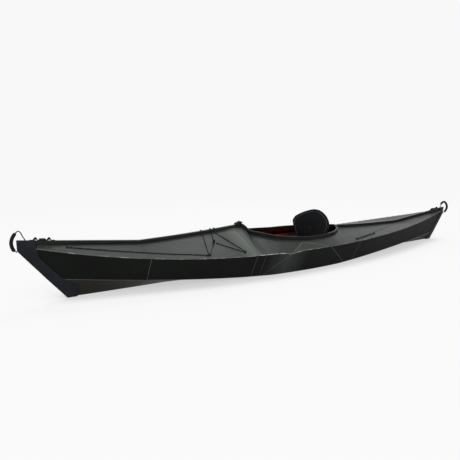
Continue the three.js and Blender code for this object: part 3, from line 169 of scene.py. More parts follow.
class Look(Nodes):
    """A material in the making: its node tree, and its colour and relief so far."""

    def __init__(self, name, base, pale=None):
        self.material = bpy.data.materials.new(f"{name}_look")
        self.material.use_nodes = True
        super().__init__(self.material.node_tree)
        self.shader = self.tree.nodes["Principled BSDF"]
        self.base, self.pale = linear(base), linear(pale or base)
        self.colour = self.relief = None

    def cloud(self, clouds, dark, light, span=NOISE_MIDDLE):
        """Starts the colour: it wanders between a darker and a lighter share of the base."""
        share = self.span(clouds, *span)
        self.colour = self.mixed(share, scaled(self.base, dark), scaled(self.base, light))

    def tone(self, mask, most, low=0.0, high=1.0, other=None):
        """Takes the colour towards the pale one, or another, by up to a share as a mask rises."""
        self.colour = self.mixed(self.span(mask, low, high, 0.0, most), self.colour, other or self.pale)

    def wear(self, patches, radius, least, most):
        """Turns the colour pale in patches along corners and folds."""
        patchy = self.span(patches, *PATCHES, least, most)
        self.colour = self.mixed(self.product(self.corners(radius), patchy), self.colour, self.pale)

    def emboss(self, height, depth, strength):
        made = self.add("Bump", {"Height": height, "Distance": depth * MM, "Strength": strength})
        if self.relief is not None:
            self.give(made.inputs["Normal"], self.relief)
        self.relief = made.outputs[0]

    def set(self, rough, **fixed):
        values = {"Base_Color": self.colour, "Roughness": rough, "Normal": self.relief, **fixed}
        for key, value in values.items():
            self.give(self.shader.inputs[key.replace("_", " ")], value)

    def done(self, mask, rough, span=NOISE_MIDDLE, **fixed):
        """Sets the shader, with a roughness that follows a mask."""
        self.set(self.span(mask, *span, *rough), **fixed)
        return self.material


def sheet_material(name, base, pale, flutes, rough, shine, painted_sheen_band=None):
    """Twin-wall plastic sheet: clouds, faint flutes, scuffs, pale folds and, if asked, a pale band across
    that is painted sheen.
    """
    t = Look(name, base, pale)
    specks = t.noise(scale=420.0, detail=2.0)
    scuffs = t.noise(scale=1.0, detail=4.0, vector=t.place(scale=(5, 90, 90)), roughness=0.7)
    t.cloud(t.noise(scale=2.6, detail=5.0), dark=0.72, light=1.22)
    t.tone(specks, most=0.35, low=0.45, high=0.75, other=scaled(t.base, share=1.6))
    t.tone(scuffs, most=0.3, low=0.62, high=0.78)
    t.wear(t.noise(scale=34.0, detail=4.0), radius=2.4, least=0.15, most=0.75)
    # A pale band across the sheet, full at one place along the boat: painted sheen, not a colour of the
    # plastic.
    if painted_sheen_band:
        start, middle, end, share = painted_sheen_band
        t.tone(t.stretch(start, middle, middle, end), most=share)
    t.emboss(t.bands(flutes, pitch=5.2), depth=0.1, strength=0.55)
    t.emboss(t.noise(scale=9.0, detail=4.0), depth=1.6, strength=0.5)
    t.emboss(specks, depth=0.06, strength=0.5)
    return t.done(scuffs, rough, Specular_IOR_Level=shine)


def plastic_material(name, base, pale, rough, grain, shine=0.12, top=0.0):
    """Moulded or extruded plastic: fine grain, handling marks, lighter corners and, if asked, a painted
    highlight on upward faces.
    """
    t = Look(name, base, pale)
    marks = t.noise(scale=1.0, detail=5.0, vector=t.place(scale=(30, 160, 160)), roughness=0.75)
    t.cloud(t.noise(scale=7.0, detail=5.0), dark=0.75, light=1.35)
    t.tone(marks, most=0.35, low=0.6, high=0.8)
    t.wear(t.noise(scale=60.0), radius=1.4, least=0.1, most=0.6)
    # Upward faces turn paler: a painted highlight where the faces catch the light.
    if top:
        t.tone(t.component(t.normal(), "Z"), most=top, low=0.25, high=0.8)
    pebbles = t.add("TexVoronoi", {"Vector": t.place(), "Scale": grain}).outputs["Distance"]
    t.emboss(pebbles, depth=0.07, strength=0.6)
    t.emboss(marks, depth=0.05, strength=0.5)
    return t.done(marks, rough, Specular_IOR_Level=shine)


def skin_material(name, base, pale):
    """Coated fabric over foam: woven coating, patches of lighter dust, worn corners."""
    t = Look(name, base, pale)
    weave = t.product(t.bands("X", pitch=1.7), t.bands("Z", pitch=1.7))
    dust = t.noise(scale=130.0, detail=5.0)
    t.cloud(t.noise(scale=14.0, detail=6.0), dark=0.6, light=1.5)
    t.tone(weave, most=0.35)
    t.tone(dust, most=0.4, low=0.55, high=0.8)
    t.tone(t.corners(radius=2.5), most=0.45)
    t.emboss(weave, depth=0.25, strength=0.8)
    t.emboss(dust, depth=0.5, strength=0.55)
    return t.done(dust, rough=(0.5, 0.75), Specular_IOR_Level=0.08, Sheen_Weight=0.02, Sheen_Roughness=0.5)


def cloth_material(name, base, pale, pitch, axes="YZ"):
    """Woven upholstery cloth with crossing yarns, nap and faded high places."""
    t = Look(name, base, pale)
    over, under = (t.bands(axis, pitch) for axis in axes)
    weave = t.math("MAXIMUM", t.span(over, to_high=0.9), under)
    fuzz = t.noise(scale=520.0, detail=4.0)
    t.cloud(t.noise(scale=11.0, detail=5.0), dark=0.65, light=1.5)
    t.tone(weave, most=0.3)
    t.tone(fuzz, most=0.4, low=0.55, high=0.8)
    t.emboss(weave, depth=0.3, strength=0.8)
    t.emboss(fuzz, depth=0.3, strength=0.6)
    return t.done(fuzz, rough=(0.75, 0.95), Specular_IOR_Level=0.08, Sheen_Weight=0.02, Sheen_Roughness=0.45)


def webbing_material(name, base, pale):
    """Woven strap: ribs across it, warp lines along it, soft fuzz."""
    t = Look(name, base, pale)
    flat = t.place("UV")
    warps = t.span(t.bands("Y", pitch=3.1, vector=flat), to_low=0.55)
    weave = t.product(t.bands("X", pitch=2.0, vector=flat), warps)
    fuzz = t.noise(scale=600.0, detail=4.0)
    t.cloud(weave, dark=0.6, light=1.8, span=(0.0, 1.0))
    t.tone(fuzz, most=0.4, low=0.5, high=0.8)
    t.emboss(weave, depth=0.4, strength=0.9)
    t.emboss(fuzz, depth=0.15, strength=0.5)
    return t.done(fuzz, rough=(0.68, 0.9), Specular_IOR_Level=0.1, Sheen_Weight=0.03)


def cord_material(name, base, pale, pitch):
    """Braided sheath: two crossing spirals of yarn, with a paler fleck."""
    t = Look(name, base, pale)
    left = t.bands("DIAGONAL", pitch, t.place("UV"))
    braid = t.math("MAXIMUM", left, t.bands("DIAGONAL", pitch, t.place("UV", scale=(1, -1, 1))))
    t.cloud(braid, dark=0.5, light=1.6, span=(0.0, 1.0))
    spots = t.span(t.noise(scale=240.0, detail=2.0), low=0.56, high=0.66)
    t.tone(t.product(spots, left), most=0.8)
    t.emboss(braid, depth=0.5, strength=0.9)
    return t.done(braid, rough=(0.85, 0.6), span=(0.0, 1.0), Specular_IOR_Level=0.12, Sheen_Weight=0.03)


def metal_material(name, base):
    """Anodised tube: drawn lines along it, small dents, worn corners."""
    t = Look(name, base)
    lines = t.noise(scale=1.0, detail=5.0, vector=t.place(scale=(700, 12, 700)), roughness=0.7)
    t.cloud(lines, dark=0.8, light=1.1, span=PATCHES)
    t.tone(t.corners(radius=0.8), most=0.5, other=scaled(t.base, share=1.5))
    t.emboss(lines, depth=0.04, strength=0.6)
    return t.done(lines, rough=(0.28, 0.46), Metallic=1.0)


def crease_material(name, base, pale, whitened=None):
    """The stretched outside of a fold, whitened from a place to a place, fading over a length."""
    t = Look(name, base, pale)
    grain = t.noise(scale=55.0, detail=5.0)
    t.cloud(grain, dark=0.8, light=1.3)
    if whitened:
        low, high, fade = whitened
        patches = t.span(t.noise(scale=48.0), low=0.4, high=0.62, to_low=0.12)
        sparse = t.span(t.noise(scale=21.0), low=0.52, high=0.68, to_high=0.55)
        inside = t.product(t.stretch(low, low + fade, high - fade, high), patches)
        t.tone(t.math("MAXIMUM", inside, sparse), most=1.0)
    t.emboss(grain, depth=0.5, strength=0.6)
    return t.done(grain, rough=(0.4, 0.6))


SOFT = {"rough": (0.4, 0.55), "shine": 0.1}
MATERIALS = {made.name.removesuffix("_look"): made for made in (
    # The pale bands given to the deck and side sheets are painted sheen.
    sheet_material("deck_sheet", "262a27", "656c64", "Y", rough=(0.3, 0.42), shine=0.14,
                   painted_sheen_band=(0.455, 0.5, 0.62, 0.6)),
    sheet_material("side_sheet", "121412", "484b49", "Z", rough=(0.55, 0.7), shine=0.04,
                   painted_sheen_band=(0.08, 0.26, 0.43, 0.45)),
    sheet_material("bottom_sheet", "201f1b", "4c4b44", "Y", **SOFT),
    sheet_material("floor_sheet", "f4141f", "f5666c", "Y", **SOFT),
    # The channel's paler upward faces are a painted highlight.
    plastic_material("channel", "131412", "70746c", rough=(0.3, 0.46), grain=1300.0, shine=0.2, top=0.55),
    plastic_material("rim", "0b0c0d", "2e3031", rough=(0.32, 0.48), grain=1500.0),
    plastic_material("moulded", "111212", "3a3c3e", rough=(0.42, 0.58), grain=900.0),
    plastic_material("grip", "0d0d0e", "3f4144", rough=(0.34, 0.5), grain=700.0),
    skin_material("fairing", "121318", "3c3f46"),
    cloth_material("back_cloth", "060709", "1c1e22", pitch=1.9),
    cloth_material("seat_cloth", "151618", "3d3f43", pitch=2.3, axes="XY"),
    webbing_material("binding", "08080a", "232429"),
    webbing_material("webbing", "0c0d0e", "303236"),
    cord_material("thread", "55585d", "888c92", pitch=0.6),
    cord_material("cord", "131415", "80858a", pitch=2.0),
    cord_material("rope", "2c2e2f", "84888a", pitch=2.2),
    metal_material("tube", "8f9295"),
    crease_material("deck_crease", "565b56", "8a8e88"),
    crease_material("edge_crease", "3c3f3a", "a2a4a0", whitened=(0.16, 0.62, 0.14)),
    crease_material("keel_crease", "3a3b38", "5c5d59"),
    crease_material("side_crease", "181a19", "2c2f2d"),
    crease_material("faint_crease", "1e221f", "3e443f"),
)}


# Finish of the carried-over CAD pieces

LOOKS = (
    ("deck_panel", "deck_sheet", 0.9), ("side_panel", "side_sheet", 0.9), ("gusset", "side_sheet", 0.9),
    ("bottom_panel", "bottom_sheet", 0.9), ("channel", "channel", 0), ("coaming", "rim", 0.5),
    ("fairing_buckle", "moulded", 0.8), ("bulkhead", "side_sheet", 0.8), ("floorboard", "floor_sheet", 0.8),
    ("seat_pan", "moulded", 0.8), ("backrest_shell", "moulded", 0.6), ("rod", "tube", 0.5),
    ("bar", "tube", 0.5), ("cord_lock", "moulded", 0.5), ("fairing", "fairing", 0),
)


def rounding_group():
    """Joins the split corners of an imported piece and shades it smooth."""
    group = bpy.data.node_groups.new("joined_corners", "GeometryNodeTree")
    for way in ("INPUT", "OUTPUT"):
        group.interface.new_socket("Geometry", in_out=way, socket_type="NodeSocketGeometry")
    kinds = ("NodeGroupInput", "GeometryNodeMergeByDistance", "GeometryNodeRemoveAttribute",
             "GeometryNodeSetShadeSmooth", "NodeGroupOutput")
    chain = [group.nodes.new(kind) for kind in kinds]
    _, merge, plain, _, _ = chain
    merge.inputs["Distance"].default_value = 0.02 * MM
    plain.inputs["Name"].default_value = "custom_normal"
    for first, second in zip(chain, chain[1:]):
        group.links.new(first.outputs[0], second.inputs[0])
    return group


ROUNDING = rounding_group()


def finish_node(name, look, bevel):
    """Gives a CAD node its material, joined corners and edges rounded by some millimetres."""
    piece = nodes[name]
    for slot in piece.material_slots:
        slot.material = MATERIALS[look]
    piece.modifiers.new("joined", "NODES").node_group = ROUNDING
    if bevel:
        rounded = piece.modifiers.new("rounded", "BEVEL")
        rounded.width = bevel * MM
        rounded.segments = 2
        rounded.limit_method = "ANGLE"
        rounded.angle_limit = math.radians(28)
    piece.modifiers.new("weighted", "WEIGHTED_NORMAL").weight = 60


def finish_nodes():
    for name in nodes:
        for part, look, bevel in LOOKS:
            if part in name:
                finish_node(name, look, bevel)
                break


# Mesh building


def cumulative(points):
    lengths = [0.0]
    for a, b in zip(points, points[1:]):
        lengths.append(lengths[-1] + (b - a).length)
    return lengths


def mean(points):
    return sum(points, Vector()) / len(points)


def new_object(name, data):
    made = bpy.data.objects.new(name, data)
    bpy.context.scene.collection.objects.link(made)
    return made


def dress(mesh, look):
    """Gives a mesh one material and smooth faces."""
    mesh.materials.clear()
    mesh.materials.append(MATERIALS[look])
    mesh.polygons.foreach_set("use_smooth", [True] * len(mesh.polygons))


class Parts:
    """Collects lofted bodies into one mesh, with a flat layout."""

    def __init__(self):
        self.corners, self.faces, self.flat = [], [], []

    def loft(self, rings):
        """Skins closed rings of points, with a cap at each end."""
        start, count = len(self.corners), len(rings[0])
        self.corners += [tuple(point) for ring in rings for point in ring]
        along = cumulative([mean(ring) for ring in rings])
        middle = list(rings[len(rings) // 2])
        around = cumulative(middle + middle[:1])
        for i in range(len(rings) - 1):
            for j in range(count):
                k = (j + 1) % count
                low, high = start + i * count, start + (i + 1) * count
                self.faces.append((low + j, low + k, high + k, high + j))
                self.flat += [(along[i], around[j]), (along[i], around[j + 1]),
                              (along[i + 1], around[j + 1]), (along[i + 1], around[j])]
        for row, turned in ((0, True), (len(rings) - 1, False)):
            cap = [start + row * count + j for j in range(count)]
            self.faces.append(tuple(reversed(cap)) if turned else tuple(cap))
            self.flat += [(along[row], around[j]) for j in range(count)]

    def tube(self, points, radius, sides):
        self.loft(tube_rings(points, [radius] * len(points), sides))
        return self

    def piece(self, name, look):
        mesh = bpy.data.meshes.new(name)
        mesh.from_pydata(self.corners, [], self.faces)
        layer = mesh.uv_layers.new(name="flat")
        layer.data.foreach_set("uv", [value for pair in self.flat for value in pair])
        dress(mesh, look)
        bm = bmesh.new()
        bm.from_mesh(mesh)
        bmesh.ops.recalc_face_normals(bm, faces=bm.faces)
        bm.to_mesh(mesh)
        bm.free()
        return new_object(name, mesh)


def directions(points):
    """Unit directions along a line of points."""
    last = len(points) - 1
    return [(points[min(i + 1, last)] - points[max(i - 1, 0)]).normalized() for i in range(last + 1)]


def cross_frames(points, up):
    """Two crossing unit vectors at each point, turning as little as they can."""
    found = []
    for forward in directions(points):
        normal = (up - forward * up.dot(forward)).normalized()
        found.append((normal, forward.cross(normal)))
        up = normal
    return found


def across_axis(axis):
    """Two unit vectors square to an axis and to each other."""
    side = axis.orthogonal().normalized()
    return side, axis.cross(side)


def circle(centre, first, second, count, closed=False):
    """Points round an ellipse with two half axes."""
    turns = [2 * math.pi * j / count for j in range(count + 1 if closed else count)]
    return [centre + first * math.cos(a) + second * math.sin(a) for a in turns]


def tube_rings(points, radii, sides, flatness=1.0, up=Vector((0.13, 0.21, 0.97))):
    return [circle(point, normal * (radius * flatness), side * radius, sides)
            for point, radius, (normal, side) in zip(points, radii, cross_frames(points, up))]


def lathe_rings(centre, normal, profile, sides=20):
    """Rings round an axis: each row of the profile is a height and a radius."""
    side, other = across_axis(normal)
    return [circle(centre + normal * height, side * radius, other * radius, sides)
            for height, radius in profile]


def ball_rings(centre, radius, sides, rows=8):
    angles = [math.pi * (i + 0.5) / rows for i in range(rows)]
    profile = [(-radius * math.cos(a), radius * math.sin(a)) for a in angles]
    return lathe_rings(centre, UP, profile, sides)


def between(p, q, start, end, t):
    return p * ((end - t) / (end - start)) + q * ((t - start) / (end - start))


def curve_point(corners, times, t):
    """A point of the rounded curve between the middle two of four corners."""
    low = [between(corners[k], corners[k + 1], times[k], times[k + 1], t) for k in range(3)]
    middle = [between(low[k], low[k + 1], times[k], times[k + 2], t) for k in range(2)]
    return between(middle[0], middle[1], times[1], times[2], t)


def smooth_line(points, spacing, least=1e-4):
    """Points along a rounded curve through the given ones."""
    padded = [points[0] * 2 - points[1], *points, points[-1] * 2 - points[-2]]
    found = []
    for corners in zip(padded, padded[1:], padded[2:], padded[3:]):
        times = [0.0]
        for first, second in zip(corners, corners[1:]):
            times.append(times[-1] + max(least, math.sqrt((second - first).length)))
        count = max(1, math.ceil((corners[2] - corners[1]).length / spacing))
        steps = [times[1] + (times[2] - times[1]) * i / count for i in range(count)]
        found += [curve_point(corners, times, t) for t in steps]
    return found + [points[-1]]


def closed_line(points, spacing):
    """A rounded closed curve through points, ending where it starts."""
    ring = [points[-2], points[-1], *points, points[0], points[1]]
    line = smooth_line(ring, spacing)
    head = len(smooth_line(ring[:3], spacing)) - 1
    tail = len(smooth_line(ring[-2:], spacing)) - 1
    return line[head:len(line) - tail]


def along(places, place):
    """The span of a list of lengths that a length falls in, and its share of it."""
    i = max(0, min(len(places) - 2, sum(p <= place for p in places) - 1))
    return i, (place - places[i]) / max(TINY, places[i + 1] - places[i])


def millimetres(pairs):
    return [(a * MM, b * MM) for a, b in pairs]


# Reading the CAD shapes


def welded(name, within=0.01 * MM):
    bm = bmesh.new()
    bm.from_mesh(nodes[name].data)
    bmesh.ops.remove_doubles(bm, verts=bm.verts, dist=within)
    return bm


def flat_patch(face, flat=0.999999):
    """The joined faces that lie in one plane with a face."""
    patch, queue = {face}, [face]
    while queue:
        for near in (f for edge in queue.pop().edges for f in edge.link_faces):
            if near not in patch and near.normal.dot(face.normal) > flat:
                patch.add(near)
                queue.append(near)
    return patch


def cord_end(bm, sides=8, roundness=1.03):
    """The corners and the radius of the round cap at one end of a tube."""
    for face in bm.faces:
        ring = {v for near in flat_patch(face) for v in near.verts}
        middle = mean([v.co for v in ring])
        reach = [(v.co - middle).length for v in ring]
        if len(ring) == sides and max(reach) < min(reach) * roundness:
            return ring, min(reach)
    raise ValueError("a cord without a round cap")


def cord_line(name):
    """The middle line and the radius of a tube-shaped CAD node."""
    bm = welded(name)
    ring, radius = cord_end(bm)
    line, done = [], set()
    while ring:
        line.append(mean([v.co for v in ring]))
        done |= ring
        ring = {e.other_vert(v) for v in ring for e in v.link_edges} - done
    bm.free()
    return line, radius


def nearest(rows, place):
    """Which row's point lies nearest to a place."""
    return min(range(len(rows)), key=lambda i: (rows[i][0] - place).length)


def strap_line(name, width, tolerance=0.04):
    """Places along the middle of a strap-shaped CAD node, with the way across it at each."""
    bm = welded(name)
    crossing = [e for e in bm.edges if abs(e.calc_length() - width) < tolerance * width]
    left = [((e.verts[0].co + e.verts[1].co) / 2, (e.verts[1].co - e.verts[0].co).normalized())
            for e in crossing]
    bm.free()
    pairs = []
    while len(left) > 1:
        middle, across = left.pop(0)
        other, _ = left.pop(nearest(left, middle))
        pairs.append(((middle + other) / 2, across))
    centre = mean([point for point, _ in pairs])
    ordered = [pairs.pop(max(range(len(pairs)), key=lambda i: (pairs[i][0] - centre).length))]
    while pairs:
        ordered.append(pairs.pop(nearest(pairs, ordered[-1][0])))
    return ordered


def box_centre(body):
    boxes = [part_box(name) for name, piece in nodes.items() if piece.parent is frame["bodies"][body]]
    return mean([(low + high) / 2 for low, high in boxes])


def tree_of(names):
    """A search tree over the faces of several CAD nodes."""
    corners, faces = [], []
    for name in names:
        start = len(corners)
        mesh = nodes[name].data
        corners += [v.co.copy() for v in mesh.vertices]
        faces += [tuple(start + i for i in p.vertices) for p in mesh.polygons]
    return BVHTree.FromPolygons(corners, faces)


def point_tree(points):
    tree = KDTree(len(points))
    for i, point in enumerate(points):
        tree.insert(point, i)
    tree.balance()
    return tree


def top_of(tree, x, y, above=1.0):
    """The highest place of a search tree at x and y, and the way out of it."""
    return tree.ray_cast(Vector((x, y, above)), -UP)[:2]


DECKS = tree_of([name for name in nodes if "deck_panel" in name])
SIDES = tree_of([name for name in nodes if "side_panel" in name or "gusset" in name])


# Folds of the hull sheet

FOLD_SIZES = {
    "deck_crease": (1.8 * MM, 0.8 * MM), "edge_crease": (2.6 * MM, 1.2 * MM),
    "keel_crease": (2.2 * MM, 1.2 * MM), "side_crease": (2.4 * MM, 0.5 * MM),
    "faint_crease": (3.2 * MM, 0.5 * MM),
}
FOLD_LOOKS = {"deck": "faint_crease", "side": "deck_crease", "deck side": "edge_crease"}
GUSSET_APEX, GUSSET_CORNERS = (0.085, 0.238), ((0.240, 0.313), (-0.114, 0.315))
SIDE_CREASES = (0.506, 0.44, -0.43)
FAINT_CREASES = (
    ((1.186, 0.088), (1.66, 0.026)), ((1.186, 0.088), (0.84, 0.02)), ((-0.52, 0.24), (-1.17, 0.062)))


def hull_middle(x, height=0.12, bow_rise=0.11, stern_rise=0.07, reach=1.7):
    """The middle of the hull's section at a place along it."""
    rise = bow_rise if x > 0 else stern_rise
    return Vector((x, 0, height + rise * (x / reach) ** 2))


def inward(point):
    """The way from a place to the inside of the hull."""
    return (hull_middle(point.x) - point).normalized()


def met_points(first, second, within=1.6 * MM):
    tree = point_tree(second)
    found = []
    for point in first:
        near, _, distance = tree.find(point)
        if distance < within:
            found.append((point + near) / 2)
    return found


def outer_points(met, near=8.5 * MM, further=0.5 * MM):
    """The meeting places on the outside of the sheet."""
    rows = [(p, (p - hull_middle(p.x)).length) for p in met]
    return [p for p, reach in rows
            if not any((q - p).length < near and other > reach + further for q, other in rows)]


def fold_line(first, second, spacing=3 * MM):
    """The outer corners of the fold where two sheet panels meet, in order."""
    outer = outer_points(met_points(first, second))
    if len(outer) < 2:
        return []
    spread = max((a - b for a in outer for b in outer), key=lambda way: way.length)
    outer.sort(key=lambda p: p.dot(spread))
    kept = [outer[0]]
    for point in outer[1:]:
        if (point - kept[-1]).length > spacing:
            kept.append(point)
    return kept


def fold_look(*names):
    kinds = {next((kind for kind in ("deck", "bottom") if kind in name), "side") for name in names}
    return FOLD_LOOKS.get(" ".join(sorted(kinds)), "keel_crease")


def panel_folds(least_breadth=12 * MM):
    """The folds between neighbouring panels, by their look."""
    corners = {}
    for name in nodes:
        if "panel" in name or "gusset" in name:
            bm = welded(name)
            corners[name] = [v.co.copy() for v in bm.verts]
            bm.free()
    folds = {}
    for first, second in combinations(corners, 2):
        line = fold_line(corners[first], corners[second])
        if len(line) > 1 and max(abs(p.y) for p in line) > least_breadth:
            folds.setdefault(fold_look(first, second), []).append(line)
    return folds


def side_line(x, side, steps=61, rise=5 * MM, steep=0.6):
    found = []
    for step in range(steps):
        hit, normal, _, _ = SIDES.ray_cast(Vector((x, side, step * rise)), Vector((0, -side, 0)))
        if hit and abs(normal.y) > steep:
            found.append(hit)
    return found


def deck_line(start, end, side, count=12):
    """A straight line over the deck, from two places on its port half."""
    places = [Vector(start).lerp(Vector(end), k / count) for k in range(count + 1)]
    return [hit for hit, _ in (top_of(DECKS, p.x, p.y * side) for p in places) if hit]


def add_drawn_folds(folds, side, highlight_offset=Vector((0, 0.004))):
    """The folds inside a panel: round the gusset, up the side and on the decks."""
    # Each gusset fold gets a darker strip and a paler one beside it: a painted shadow line and a painted
    # highlight along the fold.
    for apex, corner in ((Vector(GUSSET_APEX), Vector(corner)) for corner in GUSSET_CORNERS):
        folds["faint_crease"].append(deck_line(apex, corner, side))
        folds["deck_crease"].append(deck_line(apex + highlight_offset, corner + highlight_offset, side))
    for x in SIDE_CREASES:
        folds["side_crease"].append(side_line(x, side))
    for start, end in FAINT_CREASES:
        folds["faint_crease"].append(deck_line(start, end, side, count=24))


def fold_strip(parts, line, half, proud, sink=0.6 * MM, tip=0.6):
    """A low rounded strip along a fold: half its width, and how far it stands proud."""
    out = -inward(line[len(line) // 2])
    sunk = [p + inward(p) * sink for p in line]
    radii = [half * tip, *[half] * (len(line) - 2), half * tip]
    parts.loft(tube_rings(sunk, radii, sides=8, flatness=(proud + sink) / half, up=out))


def add_folds():
    folds = panel_folds()
    for look in ("side_crease", "faint_crease", "deck_crease"):
        folds.setdefault(look, [])
    for side in (1, -1):
        add_drawn_folds(folds, side)
    for look, lines in folds.items():
        parts = Parts()
        for line in lines:
            fold_strip(parts, line, *FOLD_SIZES[look])
        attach(parts.piece(look.replace("crease", "folds"), look), "hull")


# Cords and their fittings

POST_PLACES = ((0.822, 0.228), (0.577, 0.25))
POST = millimetres(((-1.0, 3.0), (0.2, 9.5), (1.4, 9.8), (1.9, 8.8), (2.0, 3.4), (6.4, 3.2), (6.6, 8.2),
                    (7.6, 8.8), (8.8, 7.4), (9.4, 4.2), (9.5, 1.0)))
GROMMET = millimetres(((-1.0, 4.0), (0.2, 8.4), (1.4, 8.6), (2.2, 7.4), (2.4, 5.6), (1.6, 4.0)))


def add_cord(name, node, body, share=0.98):
    line, radius = cord_line(node)
    parts = Parts().tube(smooth_line(line, spacing=3 * MM), radius * share, sides=12)
    piece = parts.piece(name, "cord")
    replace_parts(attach(piece, body), node)
    return line, radius


def add_knot(parts, centre, radius, normal, angles=(15, 75, 135), rise=0.9, cord=0.62):
    """A small overhand knot: three crossing turns of cord pulled tight."""
    side, other = across_axis(normal)
    for angle in angles:
        tilt = Matrix.Rotation(math.radians(angle), 3, normal)
        first, second = tilt @ side, (tilt @ other + normal * rise).normalized()
        ring = circle(centre, first * radius, second * radius, count=18, closed=True)
        parts.tube(ring, radius * cord, sides=8)


def add_deck_fittings(ends, size=1.05, lift=0.4):
    """Posts that the bungees turn round, and an eyelet and a knot at each cord end."""
    posts, knots = Parts(), Parts()
    for x, y in POST_PLACES:
        for side in (1, -1):
            posts.loft(lathe_rings(*top_of(DECKS, x, y * side), POST))
    for end, before, radius in ends:
        point, normal = top_of(DECKS, end.x, end.y)
        posts.loft(lathe_rings(point, normal, GROMMET))
        centre = end + (end - before).normalized() * radius + normal * (radius * lift)
        add_knot(knots, centre, radius * size, normal)
    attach(posts.piece("deck_posts_and_eyelets", "moulded"), "hull")
    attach(knots.piece("deck_cord_knots", "cord"), "hull")


def add_cords():
    add_cord("fore_bungee_cord", "foredeck_bungee_fore", "hull")
    add_cord("aft_bungee_cord", "foredeck_bungee_aft", "hull")
    ends = []
    for side in ("port", "starboard"):
        for name in ("foredeck_side_line", "aft_deck_cord"):
            line, radius = add_cord(f"{name}_{side}_rope", f"{name}_{side}", "hull")
            ends += [(line[0], line[1], radius), (line[-1], line[-2], radius)]
    add_deck_fittings(ends)


# Grab handles

BOW_ROUTE = ((1.87245, 0.298), (1.886, 0.31), (1.894, 0.334), (1.893, 0.36), (1.88, 0.388), (1.858, 0.409),
             (1.847, 0.402), (1.84, 0.385), (1.832, 0.368))
STERN_ROUTE = ((-1.90405, 0.24), (-1.93, 0.246), (-1.952, 0.266), (-1.96, 0.292), (-1.945, 0.322),
               (-1.912, 0.342), (-1.88, 0.338), (-1.86, 0.32))


def grip_radii(count, full=9.6 * MM, mouth=6.2 * MM, taper=0.9 * MM, rib=0.3 * MM, turn=1.9):
    """Radii along a ribbed grip that narrows at its mouths."""
    near_end = [min(i, count - 1 - i) for i in range(count)]
    return [min(full, mouth + near * taper) + rib * math.cos(i * turn) for i, near in enumerate(near_end)]


def add_handle(end, route, top_x, shares, seat=4.2 * MM):
    """A rope from the stem to the top of the fairing, through a ribbed grip, with a knot at each end."""
    body = f"{end}_handle"
    top, _ = top_of(tree_of([f"{end}_fairing"]), top_x, 0)
    points = smooth_line([*(Vector((x, 0, z)) for x, z in route), top + UP * seat], spacing=1.5 * MM)
    rope = Parts().tube(points, radius=2.9 * MM, sides=12)
    for centre in (points[0], points[-1]):
        rope.loft(ball_rings(centre, radius=3.6 * MM, sides=12))
    rope_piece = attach(rope.piece(f"{end}_handle_rope", "rope"), body)
    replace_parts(rope_piece, body)
    first, last = (int(share * (len(points) - 1)) for share in shares)
    held = points[first:last + 1]
    grip = Parts()
    grip.loft(tube_rings(held, grip_radii(len(held)), sides=16))
    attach(grip.piece(f"{end}_handle_grip", "grip"), body)


def add_handles():
    add_handle("bow", BOW_ROUTE, top_x=1.828, shares=(0.06, 0.6))
    add_handle("stern", STERN_ROUTE, top_x=-1.85, shares=(0.1, 0.88))


# Webbing

STRAP_SECTION = (
    (-0.5, 0.3), (-0.46, 0.62), (-0.38, 0.5), (-0.2, 0.5), (0.0, 0.5), (0.2, 0.5), (0.38, 0.5), (0.46, 0.62),
    (0.5, 0.3))
STITCH = ((0.0, -0.2, 0.7), (0.5, 0.7, 1.0), (1.0, -0.2, 0.7))
SIDE_STRAP = {"width": 25 * MM, "thickness": 1.6 * MM}
RIDGE_STRAP = {"width": 18 * MM, "thickness": 1.6 * MM}
LOOP_LEAN, LOOP_GROWTH = math.radians(42), 0.5


def strap_ring(centre, across, out, width, thickness):
    """A strap's section: flat faces with thicker woven edges."""
    section = [*STRAP_SECTION, *((w, -t) for w, t in reversed(STRAP_SECTION))]
    return [centre + across * (width * w) + out * (thickness * t) for w, t in section]


def stitch_rows(parts, rows, length=2.6 * MM, gap=1.2 * MM, radius=0.42 * MM):
    """Short raised stitches along each row of (point, direction out of the cloth)."""
    for row in rows:
        places = cumulative([p for p, _ in row])
        reach = 0.0
        while reach + length < places[-1]:
            line = []
            for step, lift, _ in STITCH:
                i, share = along(places, reach + length * step)
                point, out = (row[i][k].lerp(row[i + 1][k], share) for k in (0, 1))
                line.append(point + out.normalized() * (radius * lift))
            parts.loft(tube_rings(line, [radius * taper for _, _, taper in STITCH], sides=6))
            reach += length + gap


def seated_rings(centres, acrosses, width, thickness):
    """Sections of a strap along its middle line, and the way across and out at each."""
    rings, facings = [], []
    for point, across, forward in zip(centres, acrosses, directions(centres)):
        across = (across - forward * across.dot(forward)).normalized()
        if facings and facings[-1][0].dot(across) < 0:
            across = -across
        out = forward.cross(across)
        rings.append(strap_ring(point, across, out, width, thickness))
        facings.append((across, out))
    return rings, facings


def box_stitch_rows(centres, facings, width, thickness, span=6, shares=(0.36, 0.12, -0.12, -0.36)):
    """Rows of a box of stitching near each end of a strap, on both faces."""
    rows = []
    last = len(centres) - 1
    for ends in (range(1, 1 + span), range(last - span, last)):
        for side in (1, -1):
            for share in shares:
                rows.append([(centres[i] + facings[i][0] * (width * share)
                              + facings[i][1] * (side * thickness / 2), facings[i][1] * side)
                             for i in ends])
    return rows


def make_strap(name, centres, acrosses, width, thickness, woven_share=0.98):
    """A woven strap and its stitching, as two pieces."""
    rings, facings = seated_rings(centres, acrosses, width * woven_share, thickness)
    woven, sewn = Parts(), Parts()
    woven.loft(rings)
    stitch_rows(sewn, box_stitch_rows(centres, facings, width, thickness))
    return woven.piece(name, "webbing"), sewn.piece(f"{name}_stitches", "thread")


def spread_acrosses(found, centres):
    """The way across a strap at each place of its finer middle line."""
    steps = cumulative([p for p, _ in found])
    acrosses = []
    for place in cumulative(centres):
        i, share = along(steps, min(place, steps[-1]))
        first, second = found[i][1], found[i + 1][1]
        acrosses.append(first.lerp(second if first.dot(second) > 0 else -second, share))
    return acrosses


